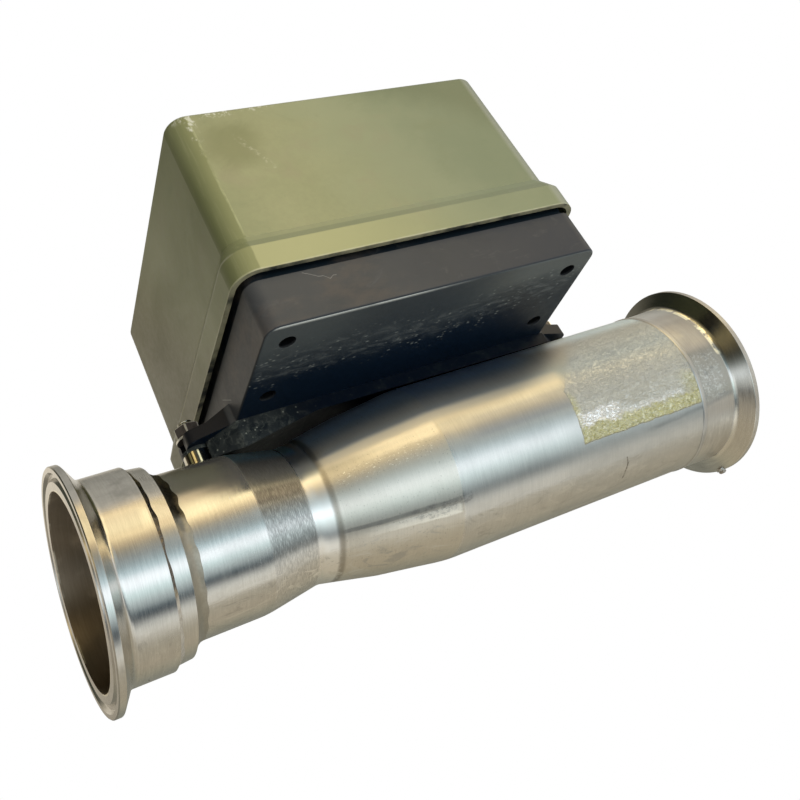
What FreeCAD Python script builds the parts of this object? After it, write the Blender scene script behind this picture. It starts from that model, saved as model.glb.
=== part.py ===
import FreeCAD, Part
import math
import os

# Sanitary flow meter, millimetres. X runs along the pipe from the inlet face, Z points up from
# the meter tube to the converter box, and the origin is the centre of the inlet face.

# Clamp ferrules for a three inch hygienic line
face_to_face = 302.0
rim_dia = 91.0
rim_width = 2.8
rim_taper = 4.8
rim_edge = 0.4
bore_dia = 72.9
bore_depth = 14.0
collar_dia = 76.2
collar_blend = 3.0
groove_dia = 83.3
groove_width = 3.4
groove_depth = 1.4

# Inlet collar, reducing ring and their welds
collar_end = 24.4
collar_lip_dia = 67.2
ring_length = 7.2
ring_front_dia = 73.4
ring_back_dia = 72.0
weld_leg = 2.2
weld_rise = 1.2
neck_weld_length = 6.2

# Meter shell: neck, waist and main tube
wall = 1.65
neck_dia = 63.0
neck_end_dia = 62.6
neck_end = 63.5
waist_dia = 55.2
waist_start = 85.6
waist_end = 87.4
cone_knee = 112.0
cone_knee_dia = 65.1
main_start = 143.0
main_start_dia = 73.7
main_end_dia = 75.2
outlet_length = 26.6
neck_blend = 40.0
waist_blend = 7.0
knee_blend = 60.0
main_blend = 60.0
seam_width = 2.6
seam_rise = 0.3

# Measuring tube and its lining
slip = 0.1
measuring_wall = 1.5
liner_wall = 2.0
measuring_setback = 17.4
outlet_lip_depth = 19.0
outlet_lip_dia = 68.4
outlet_cone_run = 4.0

# Field coils and electrodes
sensor_x = 190.0
coil_length = 64.0
coil_window = 32.0
coil_angle = 116.0
coil_window_angle = 48.0
coil_outer = 33.0
pole_length = 28.0
pole_angle = 42.0
yoke_inner = 33.8
yoke_outer = 35.1
yoke_length = 40.0
seat = 0.2
electrode_dia = 3.0
electrode_head_dia = 7.0
electrode_head = 1.0
electrode_length = 9.5
bush_dia = 5.8
bush_flange_dia = 9.0
bush_flange = 1.5
electrode_nut_flats = 5.5
electrode_nut_height = 2.0

# Converter box, centred over the tube
box_x = 151.2
box_length = 153.6
box_width = 160.4
cover_radius = 9.0
base_radius = 6.0
base_gap = 1.4
base_step_height = 21.3
base_step_inset = 1.8
base_height = 34.0
base_floor = 3.5
base_wall = 4.8
base_edge = 1.0
gasket_height = 2.0
gasket_width = 2.2
cover_height = 108.55
cover_wall = 3.0
cover_draft = 0.6
cover_edge = 2.0
skirt_start = 23.5
skirt_out = 3.7
skirt_wall = 2.2
skirt_length = 11.0
skirt_slope = 7.0

# Screw towers in the box corners, and the second row of recesses in the base
tower_inset_x = 10.6
tower_inset_y = 11.9
recess_y = 30.8
tower_radius = 6.0
tower_web = 3.0
cover_tower = 40.0
recess_dia = 7.0
recess_depth = 20.0
blind_recess_depth = 12.0
screw_dia = 4.0
screw_head_dia = 6.4
screw_head = 4.0
screw_grip = 14.0
screw_gap = 0.25

# Fixing lugs on the base, studs and nuts
lug_height = 8.7
lug_landing_height = 5.4
lug_slope_reach = 10.4
lug_root_half = 16.0
lug_tip_half = 9.0
lug_tip_reach = 19.2
lug_tip_round = 4.0
stud_reach = 14.8
stud_boss_dia = 11.6
stud_dia = 6.0
stud_height = 13.4
stud_gap = 0.3
pocket_radius = 6.8
washer_dia = 12.0
washer_thickness = 0.9
nut_flats = 10.0
nut_height = 4.9
nut_turn = 13.0

# Saddle between tube and base
saddle_half = 17.0
saddle_end_half = 6.3
saddle_taper_reach = 0.7
saddle_end_reach = 11.5
saddle_ear = 1.6
saddle_foot = 8.5
saddle_bridge = 20.6
saddle_gap = 0.2

# Lead bush between sensor and converter
lead_dia = 14.0
lead_bore = 10.0
lead_height = 11.0
lead_nut_flats = 19.0
lead_nut_height = 4.5
hole_gap = 0.25

# Circuit board, its posts, power block and terminals
board_height = 45.0
board_thickness = 1.6
board_length = 118.0
board_width = 124.0
board_chamfer = 6.0
post_x = 52.0
post_y = 55.0
post_flats = 7.0
power_length = 42.0
power_width = 34.0
power_height = 24.0
power_inset = 10.0
power_edge = 1.5
terminal_length = 72.0
terminal_width = 13.0
terminal_height = 15.0
terminal_pitch = 9.0
terminal_well_dia = 4.4
terminal_inset = 36.2

# Cable entries on the rear wall, closed by plugs
entry_dia = 16.0
entry_spacing = 64.0
entry_height = 11.6
plug_flats = 19.0
plug_head = 5.0
plug_thread = 9.0
seal_thickness = 1.4
seal_dia = 20.0

# Values that follow from the ones above
bore_r = bore_dia / 2
rim_r = rim_dia / 2
collar_r = collar_dia / 2
ring_end = collar_end + ring_length
neck_r = neck_dia / 2
waist_r = waist_dia / 2
main_start_r = main_start_dia / 2
main_end_r = main_end_dia / 2
measuring_r = waist_r - wall - slip
liner_r = measuring_r - measuring_wall - slip / 2
liner_bore_r = liner_r - liner_wall
half_x = box_length / 2
half_y = box_width / 2
shell_end = face_to_face - outlet_length
measuring_end = shell_end - measuring_setback
outlet_cone_end = face_to_face - outlet_lip_depth
base_bottom = main_end_r + base_gap
base_step = base_bottom + base_step_height
base_top = base_bottom + base_height
floor_z = base_bottom + base_floor
ledge_z = base_top + gasket_height
cavity_x = half_x - base_wall
cavity_y = half_y - base_wall
cover_top = base_bottom + cover_height
skirt_bottom = base_bottom + skirt_start
skirt_shoulder = skirt_bottom + skirt_length
tower_x = half_x - tower_inset_x
tower_y = half_y - tower_inset_y
recess_top = base_bottom + recess_depth
lug_landing = base_bottom + lug_landing_height
stud_at = half_x + stud_reach
saddle_end_at = half_x + saddle_end_reach
ear_z = base_bottom - saddle_ear
board_z = base_bottom + board_height
entry_z = base_bottom + entry_height


def vec(x, y, z):
    return FreeCAD.Vector(x, y, z)


def blended_path(points):
    """Edges through (x, r, blend) points, with each inner corner rounded by its blend radius."""
    flat = [vec(x, 0, r) for x, r, blend in points]
    edges = []
    start = flat[0]
    for index in range(1, len(points) - 1):
        corner = flat[index]
        back = (flat[index - 1] - corner).normalize()
        ahead = (flat[index + 1] - corner).normalize()
        blend = points[index][2]
        turn = math.pi - back.getAngle(ahead)
        if blend > 0 and turn > 1e-6:
            reach = blend * math.tan(turn / 2)
            first = corner + back * reach
            last = corner + ahead * reach
            inward = (back + ahead).normalize()
            centre = corner + inward * (blend / math.cos(turn / 2))
            middle = centre - inward * blend
            edges.append(Part.LineSegment(start, first).toShape())
            edges.append(Part.Arc(first, middle, last).toShape())
            start = last
        else:
            edges.append(Part.LineSegment(start, corner).toShape())
            start = corner
    edges.append(Part.LineSegment(start, flat[-1]).toShape())
    return edges


def turned(points, angle=360.0, start=0.0):
    """Solid of revolution about X from (x, r) or (x, r, blend) points of a closed profile."""
    full = [p if len(p) == 3 else (p[0], p[1], 0.0) for p in points]
    edges = blended_path(full + [full[0]])
    face = Part.Face(Part.Wire(Part.__sortEdges__(edges)))
    solid = face.revolve(vec(0, 0, 0), vec(1, 0, 0), angle)
    if start:
        solid.rotate(vec(0, 0, 0), vec(1, 0, 0), start)
    return solid


def pipe(x0, x1, inner, outer):
    return turned([(x0, inner), (x1, inner), (x1, outer), (x0, outer)])


def upright(x, y, z0, z1, radius):
    return Part.makeCylinder(radius, z1 - z0, vec(x, y, z0))


def hexagon(x, y, z0, z1, flats):
    """Upright hexagonal prism, measured across its flats."""
    radius = flats / math.sqrt(3)
    turns = [math.radians(60 * k) for k in range(7)]
    corners = [vec(x + radius * math.cos(a), y + radius * math.sin(a), z0) for a in turns]
    return Part.Face(Part.makePolygon(corners)).extrude(vec(0, 0, z1 - z0))


def nut_shape(x, y, z0, z1, flats, hole_r):
    """Hexagon nut with both ends chamfered at its corners."""
    body = hexagon(x, y, z0, z1, flats)
    tip = flats / math.sqrt(3)
    cut = (tip - flats / 2) * 0.6
    profile = [vec(0, 0, z0), vec(tip - cut, 0, z0), vec(tip, 0, z0 + cut), vec(tip, 0, z1 - cut),
               vec(tip - cut, 0, z1), vec(0, 0, z1), vec(0, 0, z0)]
    envelope = Part.Face(Part.makePolygon(profile)).revolve(vec(0, 0, 0), vec(0, 0, 1), 360)
    envelope.translate(vec(x, y, 0))
    return body.common(envelope).cut(upright(x, y, z0 - 1, z1 + 1, hole_r))


def outline(hx, hy, radius, z):
    """Rounded rectangle about the box centre at height z."""
    ix = hx - radius
    iy = hy - radius
    diag = radius * math.sqrt(0.5)
    edges = []
    for sx, sy in ((1, 1), (-1, 1), (-1, -1), (1, -1)):
        centre = vec(box_x + sx * ix, sy * iy, z)
        side_x = centre + vec(sx * radius, 0, 0)
        side_y = centre + vec(0, sy * radius, 0)
        middle = centre + vec(sx * diag, sy * diag, 0)
        edges.append(Part.Arc(side_x, middle, side_y).toShape())
    for s in (1, -1):
        edges.append(Part.LineSegment(vec(box_x - ix, s * hy, z), vec(box_x + ix, s * hy, z)).toShape())
        edges.append(Part.LineSegment(vec(box_x + s * hx, -iy, z), vec(box_x + s * hx, iy, z)).toShape())
    return Part.Wire(Part.__sortEdges__(edges))


def block(hx, hy, radius, z0, z1):
    return Part.Face(outline(hx, hy, radius, z0)).extrude(vec(0, 0, z1 - z0))


def edges_at(shape, z):
    """Edges that lie whole in the plane at height z."""
    return [e for e in shape.Edges if abs(e.BoundBox.ZMin - z) < 1e-3 and abs(e.BoundBox.ZMax - z) < 1e-3]


def corners(at_x, at_y):
    return [(box_x + sx * at_x, sy * at_y) for sx in (-1, 1) for sy in (-1, 1)]


def tower(x, y, z0, z1):
    """Screw tower with a web to the wall at the end of the box and one to the side wall."""
    half = tower_web / 2
    reach_x = math.copysign(half_x, x - box_x)
    reach_y = math.copysign(half_y, y)
    post = upright(x, y, z0, z1, tower_radius)
    end_web = Part.makeBox(abs(box_x + reach_x - x), tower_web, z1 - z0,
                           vec(min(x, box_x + reach_x), y - half, z0))
    side_web = Part.makeBox(tower_web, abs(reach_y - y), z1 - z0, vec(x - half, min(y, reach_y), z0))
    return post.fuse([end_web, side_web])


def ends():
    """The two lug ends of the box as (sign, stud position)."""
    return [(-1, box_x - stud_at), (1, box_x + stud_at)]


def shell_radius(x):
    """Outer radius of the shell at the stations where something seats on it."""
    if x < main_start:
        share = (x - ring_end) / (neck_end - ring_end)
        return neck_r + (neck_end_dia / 2 - neck_r) * min(1.0, share)
    share = (x - main_start) / (shell_end - main_start)
    return main_start_r + (main_end_r - main_start_r) * share


def rim_profile(face, inward):
    """Clamp rim from its gasket face back to the collar, as (x, r, blend) points."""
    def at(depth):
        return face + inward * depth
    mid = groove_dia / 2
    half = groove_width / 2
    return [(at(0), mid - half, 0), (at(groove_depth), mid - half * 0.45, 0.5),
            (at(groove_depth), mid + half * 0.45, 0.5), (at(0), mid + half, 0),
            (at(0), rim_r - rim_edge, 0), (at(rim_edge), rim_r, 0), (at(rim_width), rim_r, rim_edge),
            (at(rim_width + rim_taper), collar_r, collar_blend)]


def inlet_ferrule():
    lip = collar_lip_dia / 2
    inside = [(collar_end, lip, 0), (bore_depth, bore_r, 0), (0, bore_r, 0)]
    return turned(rim_profile(0, 1) + [(collar_end, collar_r, 0)] + inside)


def inlet_weld():
    """Fillet bead between the collar's end face and the smaller ring."""
    gap = slip / 2
    front = ring_front_dia / 2 + gap
    slope = (ring_back_dia - ring_front_dia) / 2 / ring_length
    toe = collar_end + weld_leg
    crown = (collar_end + weld_leg * 0.62, front + weld_rise * 0.66, 0.6)
    return turned([(collar_end, front, 0), (collar_end, front + weld_rise, 0), crown,
                   (toe, front + slope * weld_leg + 0.05, 0), (toe, front + slope * weld_leg, 0)])


def inlet_ring():
    inside_back = neck_r - wall
    return turned([(collar_end, collar_lip_dia / 2), (collar_end, ring_front_dia / 2),
                   (ring_end, ring_back_dia / 2), (ring_end, inside_back)])


def neck_weld():
    """Hollow fillet from the ring down to the neck."""
    gap = slip / 2
    low = neck_r + gap
    high = ring_back_dia / 2
    toe = ring_end + neck_weld_length
    knee = (ring_end + neck_weld_length * 0.42, low + (high - low) * 0.44, 6.0)
    return turned([(ring_end, low, 0), (ring_end, high, 0), knee, (toe, low + 0.08, 0), (toe, low, 0)])


def shell_line(drop):
    """Shell profile from the ring to the outlet seam, lowered by drop for the inside."""
    return [(ring_end, neck_r - drop, 0), (neck_end, neck_end_dia / 2 - drop, neck_blend),
            (waist_start, waist_r - drop, waist_blend), (waist_end, waist_r - drop, waist_blend),
            (cone_knee, cone_knee_dia / 2 - drop, knee_blend),
            (main_start, main_start_r - drop, main_blend), (shell_end, main_end_r - drop, 0)]


def meter_shell():
    """Neck, waist, widening cone and main tube in one drawn piece."""
    solid = turned(shell_line(0) + shell_line(wall)[::-1])
    return solid.cut(upright(sensor_x, 0, 0, collar_r + 5, lead_dia / 2 + hole_gap))


def outlet_weld():
    low = main_end_r + slip / 2
    half = seam_width / 2
    return turned([(shell_end - half, low), (shell_end - half * 0.6, low + seam_rise),
                   (shell_end + half * 0.6, low + seam_rise), (shell_end + half, low)])


def outlet_ferrule():
    """Outlet clamp ferrule with an inside lip that the outlet cone butts on."""
    lip = outlet_lip_dia / 2
    deep = face_to_face - bore_depth
    thin = main_end_r - wall
    back = rim_profile(face_to_face, -1)
    body = [(shell_end + seam_width, main_end_r, 0), (shell_end, main_end_r, 0), (shell_end, thin, 0),
            (outlet_cone_end, thin, 0), (outlet_cone_end, lip, 0), (deep, bore_r, 0),
            (face_to_face, bore_r, 0)]
    return turned(back + body)


def measuring_tube():
    tube = pipe(waist_start, measuring_end, measuring_r - measuring_wall, measuring_r)
    hole = Part.makeCylinder(bush_dia / 2 + slip, 2 * collar_r, vec(sensor_x, -collar_r, 0), vec(0, 1, 0))
    return tube.cut(hole)


def liner():
    tube = pipe(waist_start, measuring_end, liner_bore_r, liner_r)
    hole = Part.makeCylinder(electrode_dia / 2 + slip, 2 * collar_r, vec(sensor_x, -collar_r, 0),
                             vec(0, 1, 0))
    return tube.cut(hole)


def outlet_cone():
    """Widening cone from the measuring tube to the outlet ferrule."""
    small = measuring_r - measuring_wall
    large = outlet_lip_dia / 2
    bend = measuring_end + outlet_cone_run
    return turned([(measuring_end, small), (bend, small), (outlet_cone_end, large),
                   (outlet_cone_end, large + measuring_wall), (bend, measuring_r),
                   (measuring_end, measuring_r)])


def sector(length, inner, outer, angle):
    """Part of a ring about the tube, centred on the sensor and on the top."""
    profile = [(sensor_x - length / 2, inner), (sensor_x + length / 2, inner),
               (sensor_x + length / 2, outer), (sensor_x - length / 2, outer)]
    return turned(profile, angle, -angle / 2)


def above_and_below(shape):
    return Part.makeCompound([shape, shape.mirror(vec(0, 0, 0), vec(0, 0, 1))])


def field_coils():
    """Saddle windings above and below the measuring tube, each round its window."""
    inner = measuring_r + seat
    winding = sector(coil_length, inner, coil_outer, coil_angle)
    window = sector(coil_window, inner - wall, coil_outer + wall, coil_window_angle)
    return above_and_below(winding.cut(window))


def pole_shoes():
    return above_and_below(sector(pole_length, measuring_r + seat, yoke_inner - seat, pole_angle))


def field_yoke():
    return pipe(sensor_x - yoke_length / 2, sensor_x + yoke_length / 2, yoke_inner, yoke_outer)


def across(radius, start, length, side):
    """Cylinder along Y at the sensor, from start outwards on one side."""
    return Part.makeCylinder(radius, length, vec(sensor_x, side * start, 0), vec(0, side, 0))


def head_seat():
    """Distance from the axis at which the flat electrode head meets the lining."""
    return math.sqrt(liner_bore_r ** 2 - (electrode_head_dia / 2) ** 2) - slip / 2


def electrodes():
    pins = []
    for side in (1, -1):
        stem = across(electrode_dia / 2, head_seat(), electrode_length, side)
        head = across(electrode_head_dia / 2, head_seat() - electrode_head, electrode_head, side)
        pins.append(stem.fuse(head).removeSplitter())
    return Part.makeCompound(pins)


def electrode_bushes():
    """Insulating bushes in the measuring tube, with a flange outside it."""
    parts = []
    for side in (1, -1):
        flange_at = measuring_r + slip / 2
        sleeve = across(bush_dia / 2, liner_r + slip, flange_at - liner_r - slip + bush_flange, side)
        flange = across(bush_flange_dia / 2, flange_at, bush_flange, side)
        hole = across(electrode_dia / 2 + slip / 2, 0, collar_r, side)
        parts.append(sleeve.fuse(flange).removeSplitter().cut(hole))
    return Part.makeCompound(parts)


def electrode_nuts():
    parts = []
    for side in (1, -1):
        low = measuring_r + slip / 2 + bush_flange
        nut = nut_shape(0, 0, low, low + electrode_nut_height, electrode_nut_flats,
                        electrode_dia / 2 + slip / 2)
        nut.rotate(vec(0, 0, 0), vec(1, 0, 0), -90 * side)
        nut.translate(vec(sensor_x, 0, 0))
        parts.append(nut)
    return Part.makeCompound(parts)


def tube_clearance():
    """Body of the tube with the saddle gap round it, and a straight bridge over the waist."""
    neck = neck_r + saddle_gap
    main = shell_radius(box_x + saddle_end_at) + saddle_gap
    return turned([(ring_end, 0), (ring_end, neck), (neck_end + saddle_foot, neck),
                   (waist_end + saddle_bridge, main), (face_to_face, main), (face_to_face, 0)])


def shoulder_top(x):
    """Top of a stud's shoulder: below a saddle ear where the tube leaves room for one."""
    return ear_z if ear_z - shell_radius(x) > saddle_ear else base_bottom


def saddle():
    """Moulded saddle, tapered to the studs, with a round ear on the low one, hollowed to the tube."""
    points = []
    for sx, sy in ((-1, -1), (1, -1), (1, 1), (-1, 1)):
        taper = (box_x + sx * (half_x + saddle_taper_reach), sy * saddle_half)
        end = (box_x + sx * saddle_end_at, sy * saddle_end_half)
        points += [end, taper] if sx * sy > 0 else [taper, end]
    loop = [vec(x, y, 0) for x, y in points + points[:1]]
    solid = Part.Face(Part.makePolygon(loop)).extrude(vec(0, 0, base_bottom))
    for sign, x in ends():
        top = shoulder_top(x)
        solid = solid.cut(upright(x, 0, 0, top, stud_boss_dia / 2 + hole_gap))
        if top < base_bottom:
            solid = solid.fuse(upright(x, 0, top, base_bottom, stud_boss_dia / 2))
            solid = solid.cut(upright(x, 0, 0, base_bottom + 1, stud_dia / 2 + hole_gap))
    solid = solid.cut(upright(sensor_x, 0, 0, base_bottom + 1, lead_dia / 2 + hole_gap))
    return solid.cut(tube_clearance()).removeSplitter()


def studs():
    """Weld studs with a round shoulder that carries the lug."""
    parts = []
    for sign, x in ends():
        half = stud_boss_dia / 2
        top = shoulder_top(x)
        radius = max(shell_radius(x - half), shell_radius(x + half)) + slip / 2
        shoulder = upright(x, 0, 0, top, half)
        relief = pipe(x - stud_boss_dia, x + stud_boss_dia, 0, radius)
        thread = upright(x, 0, top - slip, base_bottom + stud_height, stud_dia / 2)
        parts.append(shoulder.cut(relief).fuse(thread).removeSplitter())
    return Part.makeCompound(parts)


def washers():
    parts = []
    for sign, x in ends():
        disc = upright(x, 0, lug_landing, lug_landing + washer_thickness, washer_dia / 2)
        parts.append(disc.cut(upright(x, 0, base_bottom, cover_top, stud_dia / 2 + slip)))
    return Part.makeCompound(parts)


def nuts():
    low = lug_landing + washer_thickness
    parts = []
    for sign, x in ends():
        nut = nut_shape(x, 0, low, low + nut_height, nut_flats, stud_dia / 2 + slip / 2)
        nut.rotate(vec(x, 0, low), vec(0, 0, 1), nut_turn)
        parts.append(nut)
    return Part.makeCompound(parts)


def lug(sign):
    """Tapered fixing lug that slopes down to a flat landing for the nut, slotted to its end."""
    inner = half_x - base_wall / 2
    tip = half_x + lug_tip_reach
    rows = [(inner, lug_root_half), (half_x, lug_root_half), (tip, lug_tip_half)]
    loop = [vec(sign * a, -b, 0) for a, b in rows] + [vec(sign * a, b, 0) for a, b in rows[::-1]]
    solid = Part.Face(Part.makePolygon(loop + loop[:1])).extrude(vec(0, 0, lug_height))
    side = [(inner, 0), (tip, 0), (tip, lug_landing_height),
            (half_x + lug_slope_reach, lug_landing_height), (half_x, lug_height), (inner, lug_height)]
    slab = [vec(sign * a, -2 * lug_root_half, h) for a, h in side]
    solid = solid.common(Part.Face(Part.makePolygon(slab + slab[:1])).extrude(vec(0, 4 * lug_root_half, 0)))
    tips = [e for e in solid.Edges
            if abs(e.BoundBox.XLength) < 1e-6 and abs(e.BoundBox.YLength) < 1e-6
            and abs(abs(e.BoundBox.Center.x) - tip) < 1e-6]
    solid = solid.makeFillet(lug_tip_round, tips)
    far = 2 * lug_tip_reach
    corner = stud_at if sign > 0 else -stud_at - far
    pocket = Part.makeCylinder(pocket_radius, far, vec(sign * stud_at, 0, lug_landing_height))
    slot_half = stud_dia / 2 + stud_gap
    slot_end = Part.makeCylinder(slot_half, 2 * far, vec(sign * stud_at, 0, -far))
    slot = Part.makeBox(far, 2 * slot_half, 2 * far, vec(corner, -slot_half, -far))
    solid = solid.cut(pocket.fuse([slot_end, slot]))
    solid.translate(vec(box_x, 0, base_bottom))
    return solid


def entry_positions():
    return [box_x - entry_spacing / 2, box_x + entry_spacing / 2]


def converter_base():
    """Moulded tray with a set-back upper wall, screw towers, recesses, lugs and cable entries."""
    lower = block(half_x, half_y, base_radius, base_bottom, base_step)
    lower = lower.makeFillet(base_edge, edges_at(lower, base_bottom))
    inset = base_step_inset
    upper = block(half_x - inset, half_y - inset, base_radius - inset, base_step, base_top)
    inner_radius = max(1.0, base_radius - base_wall)
    cavity = block(cavity_x, cavity_y, inner_radius, floor_z, base_top + 1)
    for x, y in corners(tower_x, tower_y):
        cavity = cavity.cut(tower(x, y, floor_z - 1, base_top + 2))
    for x, y in corners(tower_x, recess_y):
        cavity = cavity.cut(upright(x, y, floor_z - 1, base_bottom + blind_recess_depth + base_floor,
                                    tower_radius))
    solid = lower.fuse([upper, lug(-1), lug(1)]).cut(cavity)
    holes = []
    for x, y in corners(tower_x, tower_y):
        holes.append(upright(x, y, base_bottom - 1, recess_top, recess_dia / 2))
        holes.append(upright(x, y, base_bottom, base_top + 1, screw_dia / 2 + screw_gap))
    for x, y in corners(tower_x, recess_y):
        holes.append(upright(x, y, base_bottom - 1, base_bottom + blind_recess_depth, recess_dia / 2))
    holes.append(upright(sensor_x, 0, base_bottom - 1, floor_z + 1, lead_dia / 2 + hole_gap))
    for x in entry_positions():
        holes.append(Part.makeCylinder(entry_dia / 2 + hole_gap, 2 * base_wall,
                                       vec(x, half_y - 1.5 * base_wall, entry_z), vec(0, 1, 0)))
    return solid.cut(holes[0].fuse(holes[1:])).removeSplitter()


def base_gasket():
    outer_x = half_x - base_step_inset - 0.4
    outer_y = half_y - base_step_inset - 0.4
    outer = block(outer_x, outer_y, base_radius - base_step_inset, base_top, ledge_z)
    inner_radius = max(0.8, base_radius - base_step_inset - gasket_width)
    return outer.cut(block(outer_x - gasket_width, outer_y - gasket_width, inner_radius,
                           base_top - 1, ledge_z + 1))


def cover():
    """Moulded cover: drafted walls, flared skirt, rounded top edge and corner bosses."""
    radius = cover_radius
    skirt_radius = radius + skirt_out / 2
    sections = [outline(half_x + skirt_out, half_y + skirt_out, skirt_radius, skirt_bottom),
                outline(half_x + skirt_out, half_y + skirt_out, skirt_radius, skirt_shoulder),
                outline(half_x, half_y, radius, skirt_shoulder + skirt_slope),
                outline(half_x - cover_draft, half_y - cover_draft, radius, cover_top)]
    shell = Part.makeLoft(sections, True, True)
    shell = shell.makeFillet(cover_edge, edges_at(shell, cover_top))
    gap = skirt_out - skirt_wall
    skirt = block(half_x + gap, half_y + gap, radius, skirt_bottom - 1, ledge_z)
    inner_x = half_x - cover_wall
    inner_y = half_y - cover_wall
    inner_radius = radius - cover_wall
    inner = Part.makeLoft([outline(inner_x, inner_y, inner_radius, ledge_z - 1),
                           outline(inner_x - cover_draft, inner_y - cover_draft, inner_radius,
                                   cover_top - cover_wall)], True, True)
    for x, y in corners(tower_x, tower_y):
        inner = inner.cut(tower(x, y, ledge_z - 2, base_top + cover_tower))
    solid = shell.cut(skirt.fuse(inner))
    for x, y in corners(tower_x, tower_y):
        solid = solid.fuse(upright(x, y, base_top, ledge_z + cover_wall, tower_radius))
    holes = [upright(x, y, base_top - 1, base_top + screw_grip + 2, screw_dia / 2) for x, y in
             corners(tower_x, tower_y)]
    return solid.cut(holes[0].fuse(holes[1:])).removeSplitter()


def cover_screws():
    """Socket head screws, sunk in the recesses and gripping the cover's bosses."""
    parts = []
    for x, y in corners(tower_x, tower_y):
        head = upright(x, y, recess_top - screw_head, recess_top, screw_head_dia / 2)
        socket = hexagon(x, y, base_bottom, recess_top - screw_head / 2, screw_dia * 0.75)
        shank = upright(x, y, recess_top, base_top + screw_grip, screw_dia / 2 - slip / 2)
        parts.append(head.cut(socket).fuse(shank).removeSplitter())
    return Part.makeCompound(parts)


def lead_bush():
    """Tube that carries the coil and electrode leads from the shell into the base."""
    low = shell_radius(sensor_x) - wall + slip
    outer = upright(sensor_x, 0, low, base_bottom + lead_height, lead_dia / 2)
    return outer.cut(upright(sensor_x, 0, 0, cover_top, lead_bore / 2))


def lead_nut():
    return nut_shape(sensor_x, 0, floor_z, floor_z + lead_nut_height, lead_nut_flats,
                     lead_dia / 2 + slip)


def posts():
    return Part.makeCompound([hexagon(x, y, floor_z, board_z, post_flats)
                              for x, y in corners(post_x, post_y)])


def circuit_board():
    board = Part.makeBox(board_length, board_width, board_thickness,
                         vec(box_x - board_length / 2, -board_width / 2, board_z))
    upright_edges = [e for e in board.Edges if abs(e.BoundBox.ZLength - board_thickness) < 1e-6]
    return board.makeChamfer(board_chamfer, upright_edges)


def power_block():
    low = board_z + board_thickness
    solid = Part.makeBox(power_length, power_width, power_height,
                         vec(box_x - power_length / 2, -board_width / 2 + power_inset, low))
    return solid.makeFillet(power_edge, edges_at(solid, low + power_height))


def terminal_block():
    """Row of screw terminals on the base floor, stepped towards the cable entries."""
    x0 = box_x - terminal_length / 2
    y0 = half_y - terminal_inset
    corner = vec(x0, y0, floor_z)
    low = Part.makeBox(terminal_length, terminal_width, terminal_height * 0.6, corner)
    high = Part.makeBox(terminal_length, terminal_width * 0.55, terminal_height, corner)
    solid = low.fuse(high).removeSplitter()
    count = int(terminal_length // terminal_pitch)
    wells = [upright(x0 + terminal_pitch * (k + 0.5), y0 + terminal_width * 0.78,
                     floor_z + terminal_height * 0.3, floor_z + terminal_height, terminal_well_dia / 2)
             for k in range(count)]
    return solid.cut(wells[0].fuse(wells[1:]))


def entry_plugs():
    """Threaded plugs with a hexagon head that close the unused cable entries."""
    parts = []
    face = half_y + seal_thickness
    for x in entry_positions():
        thread = Part.makeCylinder(entry_dia / 2, plug_thread + seal_thickness,
                                   vec(x, face - plug_thread - seal_thickness, entry_z), vec(0, 1, 0))
        head = nut_shape(0, 0, 0, plug_head, plug_flats, 1.0).fuse(upright(0, 0, 0, plug_head - 1, 1.5))
        head.rotate(vec(0, 0, 0), vec(1, 0, 0), -90)
        head.translate(vec(x, face, entry_z))
        parts.append(thread.fuse(head).removeSplitter())
    return Part.makeCompound(parts)


def plug_seals():
    parts = []
    for x in entry_positions():
        ring = Part.makeCylinder(seal_dia / 2, seal_thickness, vec(x, half_y, entry_z), vec(0, 1, 0))
        hole = Part.makeCylinder(entry_dia / 2 + slip, seal_thickness + 2, vec(x, half_y - 1, entry_z),
                                 vec(0, 1, 0))
        parts.append(ring.cut(hole))
    return Part.makeCompound(parts)


nodes = {
    "inlet_ferrule": inlet_ferrule,
    "inlet_weld": inlet_weld,
    "inlet_ring": inlet_ring,
    "neck_weld": neck_weld,
    "meter_shell": meter_shell,
    "outlet_weld": outlet_weld,
    "outlet_ferrule": outlet_ferrule,
    "measuring_tube": measuring_tube,
    "liner": liner,
    "outlet_cone": outlet_cone,
    "field_coils": field_coils,
    "pole_shoes": pole_shoes,
    "field_yoke": field_yoke,
    "electrodes": electrodes,
    "electrode_bushes": electrode_bushes,
    "electrode_nuts": electrode_nuts,
    "saddle": saddle,
    "studs": studs,
    "washers": washers,
    "nuts": nuts,
    "converter_base": converter_base,
    "base_gasket": base_gasket,
    "cover": cover,
    "cover_screws": cover_screws,
    "lead_bush": lead_bush,
    "lead_nut": lead_nut,
    "posts": posts,
    "circuit_board": circuit_board,
    "power_block": power_block,
    "terminal_block": terminal_block,
    "entry_plugs": entry_plugs,
    "plug_seals": plug_seals,
}

os.makedirs("parts", exist_ok=True)
for name, make in nodes.items():
    shape = make()
    print(name, len(shape.Solids), round(shape.Volume, 1), shape.isValid())
    shape.exportStep("parts/" + name + ".step")
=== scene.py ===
"""Looks of the flow meter: finishes, weld beads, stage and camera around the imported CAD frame."""

import logging
import math
from dataclasses import dataclass
from enum import Enum
from typing import Any, Sequence

import bmesh
import bpy
import numpy as np
from mathutils import Matrix, Vector


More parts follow.
